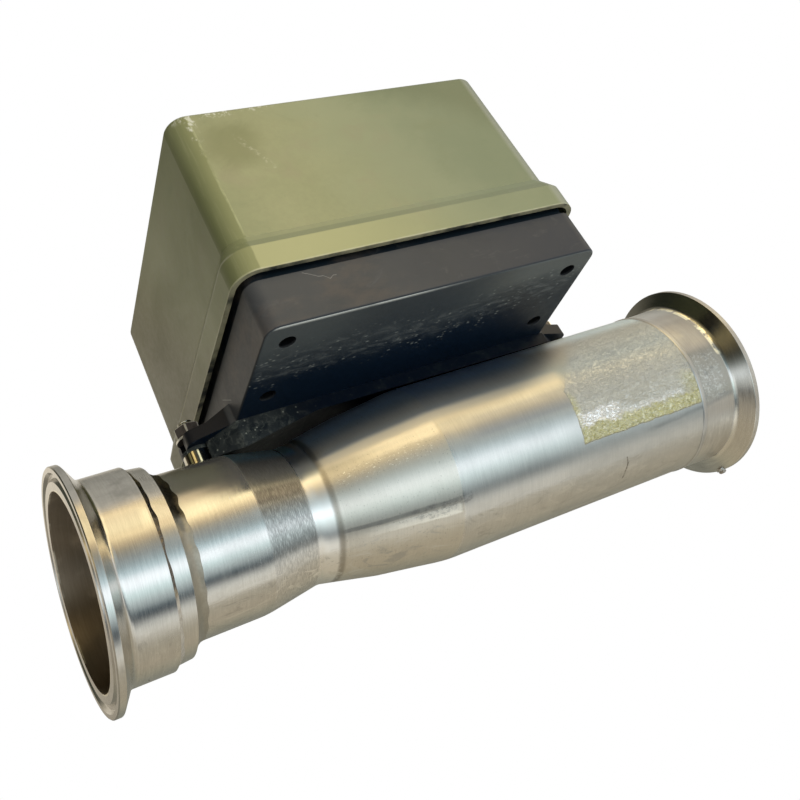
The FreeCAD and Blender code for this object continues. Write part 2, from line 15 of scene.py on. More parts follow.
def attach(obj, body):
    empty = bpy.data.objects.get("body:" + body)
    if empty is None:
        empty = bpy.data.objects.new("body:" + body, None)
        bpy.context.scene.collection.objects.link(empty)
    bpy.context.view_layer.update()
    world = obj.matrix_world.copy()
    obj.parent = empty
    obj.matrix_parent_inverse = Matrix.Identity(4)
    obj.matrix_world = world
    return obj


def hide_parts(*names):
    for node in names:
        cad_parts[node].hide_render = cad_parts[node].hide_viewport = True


log = logging.getLogger("flow_meter")
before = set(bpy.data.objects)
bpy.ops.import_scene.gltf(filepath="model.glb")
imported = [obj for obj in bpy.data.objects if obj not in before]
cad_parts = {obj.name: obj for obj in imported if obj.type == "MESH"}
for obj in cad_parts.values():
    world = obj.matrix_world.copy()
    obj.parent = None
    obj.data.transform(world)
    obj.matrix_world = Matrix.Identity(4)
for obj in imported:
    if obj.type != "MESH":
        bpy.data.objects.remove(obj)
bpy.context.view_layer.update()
MM = 0.001

Colour = tuple[float, float, float]


class Op(Enum):
    """Arithmetic of a Math node."""

    ADD = "ADD"
    SUBTRACT = "SUBTRACT"
    MULTIPLY = "MULTIPLY"
    ABSOLUTE = "ABSOLUTE"
    MAXIMUM = "MAXIMUM"
    SINE = "SINE"
    ARCTAN2 = "ARCTAN2"
    SQRT = "SQRT"


class Blend(Enum):
    """How a layer of paint joins the colour below it."""

    COVER = "MIX"
    TINT = "MULTIPLY"


def shaded(colour: Colour, share: float) -> Colour:
    """A colour times a number."""
    return tuple(c * share for c in colour)


def ramp(value: np.ndarray, start: Any, reach: float) -> np.ndarray:
    """0 at start and 1 a reach further on, straight between and held outside."""
    return np.clip((value - start) / reach, 0, 1)


@dataclass(frozen=True)
class Field:
    """A number or colour that varies over the surface: the output of a node, with arithmetic."""

    graph: "Graph"
    socket: bpy.types.NodeSocket

    def maths(self, op: Op, other: Any = 0.0) -> "Field":
        """One Math node of this field and another value."""
        return self.graph.field("ShaderNodeMath", {"operation": op.value}, {0: self, 1: other})

    def __add__(self, other: Any) -> "Field":
        """Sum."""
        return self.maths(Op.ADD, other)

    def __sub__(self, other: Any) -> "Field":
        """Difference."""
        return self.maths(Op.SUBTRACT, other)

    def __mul__(self, other: Any) -> "Field":
        """Product; of two masks, where both hold."""
        return self.maths(Op.MULTIPLY, other)

    def __or__(self, other: Any) -> "Field":
        """Larger of the two; of two masks, where either holds."""
        return self.maths(Op.MAXIMUM, other)

    def __abs__(self) -> "Field":
        """Size without its sign."""
        return self.maths(Op.ABSOLUTE)

    def sine(self) -> "Field":
        """Sine of an angle in radians."""
        return self.maths(Op.SINE)

    def root(self) -> "Field":
        """Square root."""
        return self.maths(Op.SQRT)

    def angle(self, other: Any) -> "Field":
        """Angle in degrees of a vector whose rise is this field and whose run is the other."""
        return self.maths(Op.ARCTAN2, other) * (180.0 / math.pi)

    def span(self, low: float, high: float, start: float = 0.0, end: float = 1.0) -> "Field":
        """Smooth step from start at low to end at high, held outside."""
        return self.graph.field("ShaderNodeMapRange",
                                {"interpolation_type": "SMOOTHSTEP", "clamp": True},
                                {"Value": self, "From Min": low, "From Max": high, "To Min": start,
                                 "To Max": end})

    def window(self, low: float, high: float, soft: float) -> "Field":
        """1 between low and high, falling to 0 over soft outside."""
        return self.span(low - soft, low) * self.span(high, high + soft, 1.0, 0.0)


class Graph:
    """A material's node tree, put together a node at a time."""

    def __init__(self, name: str) -> None:
        """Start an empty material of that name.

        Args:
            name: the material's name.
        """
        self.material = bpy.data.materials.new(name)
        self.material.use_nodes = True
        self.tree = self.material.node_tree
        self.tree.nodes.clear()
        self.point = self.field("ShaderNodeTexCoord", output="Object")

    def put(self, kind: str, settings: dict[str, Any] | None = None,
            inputs: dict[Any, Any] | None = None) -> bpy.types.Node:
        """Add a node.

        Args:
            kind: Blender's name of the node type.
            settings: attributes of the node.
            inputs: socket name or number to a value or a field.

        Returns:
            The node.
        """
        node = self.tree.nodes.new(kind)
        for key, value in (settings or {}).items():
            setattr(node, key, value)
        for key, value in (inputs or {}).items():
            socket = node.inputs[key]
            if isinstance(value, Field):
                self.tree.links.new(value.socket, socket)
            elif isinstance(value, tuple) and socket.type == "RGBA":
                socket.default_value = (*value, 1.0)
            else:
                socket.default_value = value
        return node

    def field(self, kind: str, settings: dict[str, Any] | None = None,
              inputs: dict[Any, Any] | None = None, output: int | str = 0) -> Field:
        """Add a node as put does, and return one of its outputs."""
        return Field(self, self.put(kind, settings, inputs).outputs[output])

    def parts(self, vector: Field) -> tuple[Field, Field, Field]:
        """The x, y and z of a vector."""
        node = self.put("ShaderNodeSeparateXYZ", None, {0: vector})
        return tuple(Field(self, output) for output in node.outputs)

    def axes(self) -> tuple[Field, Field, Field]:
        """The surface point's x, y and z in the object's own millimetres."""
        return self.parts(self.shade(self.point, 1 / MM))

    def facing(self) -> tuple[Field, Field, Field]:
        """Parts of the surface's own normal."""
        return self.parts(self.field("ShaderNodeNewGeometry", output="Normal"))

    def about_pipe(self) -> Field:
        """Angle about the pipe in degrees: 0 towards -Y, 90 up, -90 down."""
        _, y, z = self.axes()
        return z.angle(y * -1)

    def stretched(self, size: float | Sequence[float], turn: Sequence[float]) -> Field:
        """The point stretched by size, one number or one an axis, after a turn in degrees."""
        return self.field("ShaderNodeMapping", None,
                          {"Vector": self.point,
                           "Scale": tuple(size) if isinstance(size, tuple) else (size,) * 3,
                           "Rotation": tuple(math.radians(a) for a in turn)})

    def noise(self, size: float | Sequence[float], detail: float = 3.0, rough: float = 0.55,
              warp: float = 0.0, turn: Sequence[float] = (0, 0, 0)) -> Field:
        """Soft noise, about 0.5 on average, with size cells a metre."""
        return self.field("ShaderNodeTexNoise", {"noise_dimensions": "3D"},
                          {"Vector": self.stretched(size, turn), "Scale": 1.0, "Detail": detail,
                           "Roughness": rough, "Distortion": warp})

    def cells(self, size: float | Sequence[float], edge: bool = False,
              turn: Sequence[float] = (0, 0, 0)) -> Field:
        """Distance to the nearest cell centre, or to the nearest cell edge."""
        feature = "DISTANCE_TO_EDGE" if edge else "F1"
        return self.field("ShaderNodeTexVoronoi", {"feature": feature},
                          {"Vector": self.stretched(size, turn), "Scale": 1.0}, "Distance")

    def line(self, along: Field, across: Field, start: Sequence[float], end: Sequence[float],
             width: float) -> Field:
        """Mask of a straight mark from start to end in the plane of two coordinates.

        Args:
            along: first coordinate.
            across: second coordinate.
            start: first end of the mark.
            end: other end of the mark.
            width: half width, over which the mark fades.

        Returns:
            The mask: its distance from the line by the dot product with the unit normal,
            limited to the stretch between the ends by the dot product with the unit direction.
        """
        reach = math.dist(start, end)
        ux, uy = (end[0] - start[0]) / reach, (end[1] - start[1]) / reach
        u, v = along - start[0], across - start[1]
        near = abs(v * ux - u * uy).span(0.0, width, 1.0, 0.0)
        return near * (u * ux + v * uy).window(0.0, reach, width * 3)

    def mix(self, a: Any, b: Any, factor: Any, blend: Blend = Blend.COVER) -> Field:
        """Colour a turned into b, or into a times b, by factor."""
        return self.field("ShaderNodeMix", {"data_type": "RGBA", "blend_type": blend.value,
                                            "clamp_factor": True}, {0: factor, 6: a, 7: b}, 2)

    def coats(self, colour: Any, *layers: tuple[Any, Any], blend: Blend = Blend.COVER) -> Field:
        """Colour under layers of paint, each a tone and how far it covers.

        Args:
            colour: what lies below.
            *layers: each a tone and how far it covers.
            blend: how each layer joins the colour below it.

        Returns:
            The colour on top.
        """
        for tone, cover in layers:
            colour = self.mix(colour, tone, cover, blend)
        return colour

    def tints(self, colour: Any, *layers: tuple[Any, Any]) -> Field:
        """Colour under layers that multiply it, each a tone and how far it does."""
        return self.coats(colour, *layers, blend=Blend.TINT)

    def lerp(self, a: Any, b: Any, factor: Any) -> Field:
        """Number a turned into b by factor."""
        return self.field("ShaderNodeMix", {"data_type": "FLOAT", "clamp_factor": True},
                          {0: factor, 2: a, 3: b})

    def shade(self, colour: Any, amount: Any) -> Field:
        """Colour or vector times a number."""
        return self.field("ShaderNodeVectorMath", {"operation": "SCALE"},
                          {0: colour, "Scale": amount})

    def bump(self, height: Any, depth: float, strength: float = 1.0,
             normal: Field | None = None) -> Field:
        """Normal of a height field whose 1 stands depth metres high, on another normal if given."""
        under = {} if normal is None else {"Normal": normal}
        return self.field("ShaderNodeBump", None, {"Height": height, "Distance": depth,
                                                   "Strength": strength, **under})

    def finish(self, shader: Field) -> bpy.types.Material:
        """Close the material with this shader."""
        self.put("ShaderNodeOutputMaterial", None, {"Surface": shader})
        return self.material

    def surface(self, colour: Any, rough: Any, normal: Field,
                more: dict[str, Any]) -> bpy.types.Material:
        """Close the material with one Principled shader.

        Args:
            colour: its base colour.
            rough: its roughness.
            normal: its normal.
            more: its other sockets.

        Returns:
            The finished material.
        """
        return self.finish(self.field("ShaderNodeBsdfPrincipled", None,
                                      {"Base Color": colour, "Roughness": rough, "Normal": normal,
                                       **more}))


@dataclass(frozen=True)
class Steel:
    """Stainless steel with fine brushing that runs round the pipe."""

    name: str
    colour: Colour = (0.60, 0.575, 0.54)
    roughness: float = 0.24
    grain: float = 0.5
    stain: float = 0.25
    stretch: float = 0.6
    milk: float = 0.0
    milk_from: float = 20.0
    milk_tone: Colour = (0.52, 0.49, 0.43)

    def marks(self, g: Graph) -> tuple[Field, Field]:
        """Brushed rings and cloudy stains.

        Args:
            g: the material's graph.

        Returns:
            Height of the brushing, and the stain mask.
        """
        rings = g.noise((1500, 70, 70), 3, 0.6) * 0.5 + g.noise((5200, 230, 230), 3, 0.65) * 0.5
        clouds = g.noise(45, 5, 0.62, 0.6)
        return rings, clouds.span(0.45, 0.72)

    def brushed(self, g: Graph) -> dict[str, Any]:
        """Sockets that stretch the highlights across the rings."""
        tangent = g.field("ShaderNodeTangent", {"direction_type": "RADIAL", "axis": "X"})
        return {"Anisotropic": self.stretch, "Anisotropic Rotation": 0.25, "Tangent": tangent}

    def make(self) -> bpy.types.Material:
        """The steel as a material.

        Returns:
            The finished material.
        """
        g = Graph(self.name)
        rings, stain = self.marks(g)
        dark = shaded(self.colour, 1 - 0.45 * self.stain)
        veil = (g.about_pipe().window(self.milk_from, 150, 9) * abs(g.facing()[0]).span(0.45, 0.15)
                * g.noise((70, 90, 90), 5, 0.65).span(0.25, 0.6, self.milk * 0.7, self.milk))
        colour = g.coats(self.colour, (dark, stain), (self.milk_tone, veil))
        colour, soil = self.soiled(g, colour)
        colour = g.shade(colour, rings.span(0.25, 0.75, 0.86, 1.1))
        rough = (rings.span(0.2, 0.8, self.roughness - 0.05, self.roughness + 0.06) + stain * 0.07
                 + soil * 0.12)
        x, _, _ = g.axes()
        line_of_shade = x.window(24, 32, 0.5) * g.about_pipe().window(2, 10, 4)
        colour = g.tints(colour, ((0.8, 0.78, 0.79), line_of_shade))
        normal = g.bump(rings, 2e-05, self.grain)
        return g.surface(colour, rough, normal, {"Metallic": veil.span(0, 1, 1, 0.1),
                                                 **self.brushed(g)})

    def soiled(self, g: Graph, colour: Any) -> tuple[Any, Any]:
        """Colour with this part's own dirt, and the dirt's mask; plain steel has none."""
        return colour, 0


@dataclass(frozen=True)
class FerruleSteel(Steel):
    """Turned ferrule: brown film and painted shade in the bore, water marks low on the collar,
    small nicks, and painted light, shade and reflections on the collar and rim.
    """

    bore: Colour = (0.33, 0.275, 0.205)
    inner_r: float = 36.8
    collar_x: tuple[float, float] = (276.0, 293.0)
    scuffed_x: tuple[float, float] = (277.5, 289.0)
    rim_back_x: tuple[float, float] = (293.6, 299.3)
    low_turn: tuple[float, float] = (-150.0, -56.0)
    dull: float = 0.0

    def soiled(self, g: Graph, colour: Any) -> tuple[Any, Any]:
        """The bore's brown film with painted shade and a painted glint, pale and dark water marks
        below, and two nicks by the rim; painted light and shade on the collar, rim back, fillet and
        lip.

        Args:
            g: the material's graph.
            colour: the colour so far.

        Returns:
            The soiled colour, and the mask of the dirt.
        """
        x, y, z = g.axes()
        radius = (y * y + z * z).root()
        # Brown film in the bore, with painted shade: the bore's colour is darkened where its inside
        # lies in shade.
        inside = radius.span(self.inner_r, self.inner_r - 0.25)
        film = g.mix(self.bore, shaded(self.bore, 1.7), g.noise(60, 4).span(0.5, 0.75))
        turn = g.about_pipe()
        low = turn.window(*self.low_turn, 8)
        runs = g.noise((330, 90, 130), 6, 0.75, 0.3)
        nicks = (g.line(x, turn, (8.6, -96), (9.4, -99), 0.35)
                 | g.line(x, turn, (13.6, -92), (14.2, -94.5), 0.35))
        smear = g.line(x, turn, (277, -40), (292, -37), 2.6)
        collar = x.window(*self.collar_x, 1.5)
        scuffed = x.window(*self.scuffed_x, 3)
        rim_back = x.window(*self.rim_back_x, 0.6) * g.facing()[0].span(-0.22, -0.5)
        scuff = scuffed * turn.window(-34, -8, 6) * g.noise((700, 900, 900), 5, 0.7).span(0.5, 0.62)
        blots = (scuffed * turn.window(-36, -6, 6)
                 * g.noise((240, 300, 300), 4, 0.65).span(0.52, 0.66))
        # Painted reflection on the outlet rim's back face: dark over its top, pale on its lower
        # part.
        back = rim_back * turn.window(-14, 135, 16)
        pale = rim_back * turn.window(-95, -34, 8)
        # Painted highlight: a warm glint low in the bore.
        painted_bore_glint = inside * (x + runs * 3).span(8, 4) * turn.window(-110, -96, 6) * runs.span(0.4, 0.6)
        film = g.mix(film, (0.86, 0.72, 0.46), painted_bore_glint * 0.8)
        torn = radius.span(45.62, 45.9)
        # Painted highlight along the fillet between the outlet collar and rim.
        painted_fillet_highlight = (x.window(292.4, 293.8, 0.8) * turn.window(-4, 60, 10)
                  * g.noise((200, 240, 240), 3).span(0.4, 0.55))
        # Painted shade: a darker band on the inlet collar just above its side.
        painted_shade_band = x.span(22, 20) * turn.window(2, 9, 4)
        # Painted highlight round the lip of the bore.
        painted_lip_highlight = (radius.window(self.inner_r - 0.55, self.inner_r + 0.15, 0.15) * x.span(0.9, 0.4)
               * g.noise(60, 4, 0.6).span(0.46, 0.56))
        colour = g.coats(
            colour,
            (shaded(self.colour, 1.15), low * runs.span(0.54, 0.68) * 0.8),
            (shaded(self.colour, 0.66), low * runs.span(0.46, 0.33) * 0.6),
            ((0.03, 0.028, 0.025), nicks),
            ((0.3, 0.295, 0.28), smear * 0.6))
        # Painted shade and light on the collar: darker from below its side to just above it,
        # lighter and cooler on top.
        colour = g.tints(
            colour,
            ((0.77, 0.81, 0.82), collar * turn.window(-36, -4, 5)),
            ((0.85, 0.85, 0.86), collar * turn.window(-4, 26, 5)),
            ((1.3, 1.36, 1.42), collar * turn.window(46, 76, 12)))
        colour = g.coats(
            colour,
            ((0.8, 0.84, 0.85), scuff * 0.3),
            ((0.2, 0.21, 0.21), blots * 0.5),
            ((0.125, 0.125, 0.1), back * 0.88),
            ((0.72, 0.68, 0.6), pale * 0.85),
            ((0.3, 0.25, 0.2), torn * g.noise(700, 3).span(0.35, 0.55, 0.5, 1)),
            ((1, 0.94, 0.68), painted_fillet_highlight * 0.95))
        colour = g.tints(colour, ((0.86, 0.85, 0.86), painted_shade_band))
        colour = g.coats(colour, (film, inside), ((1, 0.95, 0.8), painted_lip_highlight * 0.85))
        round_side = abs(g.facing()[0]).span(0.45, 0.15)
        return colour, low * 0.4 | round_side * self.dull | inside * 1.2


@dataclass(frozen=True)
class ShellSteel(Steel):
    """Finish of the meter shell: brushed neck, grained waist, smooth tube, dried film and marks,
    with painted sheen, highlights, reflections and shade.
    """

    film: Colour = (0.505, 0.525, 0.475)
    rim: Colour = (0.63, 0.62, 0.27)
    brushed_x: tuple[float, float] = (64.2, 82.6)
    bright_x: tuple[float, float] = (84.4, 91.0)
    grained_x: tuple[float, float] = (92.6, 142.5)
    outer_x: tuple[float, float] = (184.0, 214.0)
    low_turn: tuple[float, float] = (-150.0, -58.0)

    def dried_sheet(self, g: Graph, x: Field, turn: Field) -> tuple[Field, Field, Field, Field]:
        """Sheet of dried film near the outlet.

        Args:
            g: the material's graph.
            x: place along the pipe in millimetres.
            turn: angle about the pipe in degrees.

        Returns:
            Masks of the sheet, its yellowed border and its painted highlights, and its wrinkles'
            height.
        """
        jag = g.noise(110, 5, 0.65) * 14 - 7
        fray = g.noise(320, 4, 0.7) * 4 - 2
        near_x = x + (jag * 0.12 + fray * 0.4)
        edge = turn + jag * 0.15 + fray * 0.6
        slid = near_x + (turn | 0) * -0.5
        left_side = g.lerp(slid.span(205.3, 206), (slid + jag * 0.6).span(199, 216),
                           turn.span(-6, 10))
        sheet = (left_side * near_x.span(275.1, 274.4) * edge.span(-37.2, -36.2)
                 * edge.span(60, 88, 1, 0))
        inner = turn + jag + fray * 1.6
        lower = inner.span(-24.5, -29)
        right = near_x.span(262, 273) * inner.span(-10, -20) * 0.6
        left = near_x.span(210, 206.5) * inner.span(2, -10) * 0.7
        border = sheet * (lower | right | left)
        folds = g.noise((300, 560, 560), 5, 0.62, 2.2)
        ridge = abs(folds - 0.5).span(0, 0.06, 1, 0)
        height = folds * 0.8 + ridge * 0.35
        # Painted highlights: the damp-looking glints low on the sheet.
        glossy = (x.window(209, 226, 5)
                  | x.window(226, 262, 6) * inner.window(-25.5, -23.5, 1.2) * 0.5)
        painted_wet_glints = glossy * inner.window(-26, -19.5, 2.5) * sheet * folds.span(0.39, 0.51)
        return sheet, border, painted_wet_glints, height

    def make(self) -> bpy.types.Material:
        """The steel shell as a material.

        Returns:
            The finished material.
        """
        g = Graph(self.name)
        x, _, _ = g.axes()
        turn = g.about_pipe()
        rings, stain = self.marks(g)
        fine = g.noise(3200, 2)
        short = g.noise((3600, 420, 420), 3, 0.7)
        brushed = x.window(*self.brushed_x, 1.2)
        grained = x.window(*self.grained_x, 1.2)
        # The bright band is smoother, and painted lighter: a painted highlight.
        bright = x.window(*self.bright_x, 1.8)
        outer_half = x.span(*self.outer_x)
        sheet, border, painted_wet_glints, height = self.dried_sheet(g, x, turn)
        colour = g.mix(self.colour, shaded(self.colour, 0.72), stain * self.stain)
        colour = g.shade(colour, rings.span(0.25, 0.75, 0.9, 1.08))
        colour = g.shade(colour, fine.span(0.3, 0.7, 0.96, 1.04))
        dim = brushed * turn.window(-40, 3, 6)
        specks = g.noise((1400, 1000, 1000), 2).span(0.62, 0.74)
        jag = g.noise(110, 5, 0.65) - 0.5
        # Painted shade in the crease beside the bright band.
        painted_crease_line = (x + jag * 1.2).window(92.2, 93.2, 1.5)
        mottle = g.noise((420, 800, 800), 5, 0.75)
        spots = ((x + jag * 30).window(122, 144, 5) * (turn + jag * 12).window(-48, -42, 2.5)
                 * mottle.span(0.44, 0.6))
        # Painted highlights: small white glints on the grained cone and near the sheet's upper
        # left.
        painted_glint_zone = (x.window(100, 134, 10) * turn.window(-9, -2, 3)
                 | x.window(199, 213, 2) * turn.window(36, 42, 2))
        painted_glints = painted_glint_zone * g.noise((900, 1500, 1500), 4, 0.75).span(0.575, 0.63)
        low = turn.window(*self.low_turn, 6)
        runs = g.noise((75, 170, 170), 6, 0.72, 0.8)
        grey = outer_half * g.noise((90, 160, 160), 5, 0.65, 0.5).span(0.35, 0.7, 0.3, 1)
        rise = turn.window(17, 110, 13)
        # Painted sheen: pale, less metallic films over the tops of the neck, cone and bright band
        # stand in for reflected light.
        painted_neck_sheen = (x.window(30, 63.6, 1) * rise * 0.13
                     | brushed * rise * turn.span(14, 44, 0.09, 0.02))
        painted_cone_sheen = x.span(90, 100) * rise * turn.span(12, 36, 0.17, 0.015)
        # Painted reflection: a gold band along the cone and tube, fading towards the outlet.
        straw_and_gold_reflection = x.window(96, 205, 6) * turn.window(9, 14, 5) * x.span(140, 190, 0.34, 0.17)
        painted_bright_sheen = bright * turn.span(2, 8) * turn.span(10, 25, 0.15, 0)
        colour = g.coats(
            colour,
            (shaded(self.colour, 0.55), brushed * short.span(0.35, 0.62, 0.05, 0.75)),
            (shaded(self.colour, 0.34), dim * short.span(0.3, 0.6, 0.2, 0.75)),
            ((0.7, 0.62, 0.48), grained * 0.35),
            ((0.15, 0.13, 0.1), (grained | brushed) * specks * 0.35),
            ((0.88, 0.85, 0.8), bright * 0.85),
            ((0.24, 0.21, 0.17), painted_crease_line * 0.6),
            ((0.16, 0.15, 0.14), spots * 0.45),
            ((0.96, 0.95, 0.9), painted_glints),
            (shaded(self.colour, 1.14), low * runs.span(0.53, 0.66) * 0.9),
            (shaded(self.colour, 0.78), low * runs.span(0.47, 0.34) * 0.95),
            ((0.52, 0.51, 0.48), grey * 0.6),
            ((0.5, 0.47, 0.4), painted_neck_sheen * 5),
            ((0.36, 0.43, 0.48), painted_cone_sheen * 5),
            ((0.88, 0.76, 0.54), straw_and_gold_reflection * 2.2),
            ((0.42, 0.44, 0.42), painted_bright_sheen * 5))
        colour = self.toned(g, colour, x, turn)
        bumps = height.span(0.42, 0.72)
        film = g.mix(self.film, shaded(self.film, 0.86),
                     g.noise((60, 90, 90), 5, 0.65).span(0.4, 0.7))
        # Painted light: the film gets lighter towards the top.
        film = g.shade(film, turn.span(32, 56, 1, 1.15))
        pebble = g.noise((620, 820, 820), 3, 0.6, 0.6)
        colour = g.mix(colour, film, sheet * (bumps * 0.35 + 0.45))
        # Painted light: lighter and cooler where the sheet's top meets the upper tube.
        colour = g.tints(colour, ((1.42, 1.6, 1.8), x.span(203, 212) * turn.window(50, 74, 13)))
        # Painted highlights on the border's bumps and painted shade between them; white painted
        # highlights on the damp parts.
        colour = g.coats(
            colour,
            (self.rim, border * (bumps * 0.5 + 0.42)),
            ((0.88, 0.89, 0.72), border * pebble.span(0.56, 0.66) * 0.8),
            ((0.3, 0.28, 0.1), border * pebble.span(0.46, 0.38) * 0.55),
            ((0.97, 0.99, 1), painted_wet_glints * 0.95))
        colour = self.scored(g, colour, x, turn)
        rough = rings.span(0.2, 0.8, self.roughness - 0.04, self.roughness + 0.05) + stain * 0.05
        for value, zone in ((0.33, brushed), (0.34, grained), (0.31, x.span(142.5, 144.5)),
                            (0.4, outer_half), (0.3, bright)):
            rough = g.lerp(rough, value, zone)
        rough = rough + x.span(92, 96) * turn.window(4, 50, 8) * 0.09
        rough = g.lerp(rough, 0.46, sheet * 0.85)
        rough = g.lerp(rough, 0.16, painted_wet_glints)
        metal = sheet.span(0, 1, 1, 0.5) - (painted_neck_sheen + painted_cone_sheen + (straw_and_gold_reflection + painted_bright_sheen))
        normal = g.bump(rings, 2e-05, self.grain)
        normal = g.bump(fine * (grained * 0.9 + 0.1), 3.5e-05, 0.8, normal)
        normal = g.bump(short * brushed, 4e-05, 0.8, normal)
        wavy = (x.window(150, 240, 8) * turn.window(-84, -58, 5)
                * g.noise((90, 420, 420), 4, 0.65, 0.8))
        normal = g.bump(wavy * 0.45 + low * runs * 0.5, 0.00028, 0.9, normal)
        normal = g.bump(height * (sheet * 0.55) + border * pebble * 1.3, 0.0006, 0.9, normal)
        return g.surface(colour, rough, normal, {"Metallic": metal, **self.brushed(g)})

    def toned(self, g: Graph, colour: Any, x: Field, turn: Field) -> Field:
        """Colour with painted light and shade: the cool shaded top and the cone's bright and dark
        edges below, all painted.

        Args:
            g: the material's graph.
            colour: the colour so far.
            x: place along the pipe in millimetres.
            turn: angle about the pipe in degrees.

        Returns:
            The toned colour.
        """
        uneven = (g.noise((60, 260, 260), 4, 0.7) - 0.5) * 3
        cone = (x + uneven * 4).span(96, 124) * x.span(142.9, 141.3)
        low = turn + uneven
        # Painted reflection and shade: cooler over the tops of the neck, cone and tube under the
        # box; painted highlights on the cone at its side and below; a darker band on the tube at
        # its side.
        colour = g.tints(
            colour,
            ((0.92, 1.26, 1.72), x.span(90, 96) * x.span(216, 190) * turn.window(42, 76, 20)),
            ((0.72, 1.1, 1.42), x.window(64.5, 88, 1.5) * turn.window(42, 76, 12)),
            ((1.42, 1.42, 1.42), cone * (turn + uneven * 1.5).window(2.5, 6.5, 4.5)),
            ((0.8, 0.82, 0.88), x.span(148, 164) * turn.window(-9, 1, 4)),
            ((1.5, 1.56, 1.62), cone * low.window(-51, -46.5, 1.5) * uneven.span(-1, 0.6, 0.6, 1)))
        # Painted shade: a dark line below the cone's lower painted highlight.
        painted_dark_line = (x.window(96, 140, 4) * low.window(-43.8, -42.2, 1.3)
                 * uneven.span(-0.6, 0.8, 0.35, 0.65))
        colour = g.mix(colour, (0.13, 0.13, 0.13), painted_dark_line)
        # Painted light and shade on the neck: lighter below its side, a dark band at the side.
        neck = x.window(64.2, 83, 1.2)
        return g.tints(colour, ((1.26, 1.26, 1.27), neck * turn.span(-8, -14)),
                       ((0.62, 0.62, 0.66), neck * turn.window(-3, 4, 3.5)))

    def scored(self, g: Graph, colour: Any, x: Field, turn: Field) -> Field:
        """Colour with the dark score low on the main tube and the long smear near the outlet.

        Args:
            g: the material's graph.
            colour: the colour so far.
            x: place along the pipe in millimetres.
            turn: angle about the pipe in degrees.

        Returns:
            The marked colour.
        """
        score = (g.line(x, turn, (228.4, -57), (229.2, -62), 0.55)
                 | g.line(x, turn, (229.2, -62), (228.2, -73), 0.8))
        broken = g.noise(700, 2).span(0.35, 0.6, 0.3, 0.9)
        colour = g.mix(colour, (0.13, 0.11, 0.09), score * broken)
        smear = (g.line(x, turn, (246, -42.5), (276, -40), 2.6)
                 * g.noise((90, 300, 300), 4).span(0.3, 0.6, 0.3, 1))
        return g.mix(colour, (0.3, 0.295, 0.28), smear * 0.55)


@dataclass(frozen=True)
class WeldMetal:
    """Weld metal: dark, pale yellow and blue from the heat, with scale on it."""

    name: str
    colour: Colour = (0.17, 0.145, 0.12)
    straw_and_gold_reflection: Colour = (0.40, 0.31, 0.19)
    blue: Colour = (0.06, 0.065, 0.08)
    clean_to: float = -40.0
    clean: Colour = (0.60, 0.575, 0.53)
    fade: float = 10.0
    sheen: float = 0.72

    def make(self) -> bpy.types.Material:
        """The weld metal as a material.

        Returns:
            The finished material.
        """
        g = Graph(self.name)
        heat = g.noise((140, 110, 110), 4, 0.6)
        scale = g.noise(900, 4, 0.7)
        turn = g.about_pipe() + (g.noise((90, 60, 60), 3) * 30 - 15)
        clean = turn.window(-220, self.clean_to, self.fade) | turn.span(115, 145)
        colour = g.coats(
            self.colour,
            (self.straw_and_gold_reflection, heat.span(0.52, 0.7)),
            (self.blue, heat.span(0.46, 0.34)),
            (shaded(self.blue, 0.35), scale.span(0.55, 0.75)),
            (self.clean, clean * scale.span(0.35, 0.6, 0.8, 0.95)))
        rough = g.lerp(scale.span(0.3, 0.7, 0.24, 0.5), 0.34, clean)
        return g.surface(colour, rough, g.bump(scale * clean.span(0, 1, 1, 0.2), 0.00018, 0.8),
                         {"Metallic": clean.span(0, 1, 1, self.sheen)})


@dataclass(frozen=True)
class Moulded:
    """Moulded plastic with a fine spark-eroded grain, cloudy tone and faint rubbing marks."""

    name: str
    colour: Colour
    shadow: Colour
    roughness: float = 0.45
    grain: float = 0.5
    cloud: float = 1.0
    ior: float = 1.48

    def tones(self, g: Graph) -> tuple[Field, Field, Field]:
        """Base tones.

        Args:
            g: the material's graph.

        Returns:
            Colour, roughness and height of the grain.
        """
        broad = g.noise(22, 4, 0.6, 0.5)
        small = g.noise(420, 3, 0.6)
        colour = g.mix(self.colour, self.shadow, broad.span(0.35, 0.7) * self.cloud)
        colour = g.shade(colour, small.span(0.3, 0.7, 0.97, 1.03))
        rough = (broad.span(0.3, 0.7, self.roughness - 0.05, self.roughness + 0.05)
                 + small.span(0.3, 0.7, -0.03, 0.03))
        return colour, rough, g.noise(2200, 2)

    def make(self) -> bpy.types.Material:
        """The plastic as a material.

        Returns:
            The finished material.
        """
        g = Graph(self.name)
        colour, rough, height = self.tones(g)
        return self.skin(g, colour, rough, height)

    def skin(self, g: Graph, colour: Any, rough: Any, height: Any,
             depth: float = 3e-05) -> bpy.types.Material:
        """Close the material, with the grain as relief of that depth."""
        return g.surface(colour, rough, g.bump(height, depth, self.grain), {"IOR": self.ior})


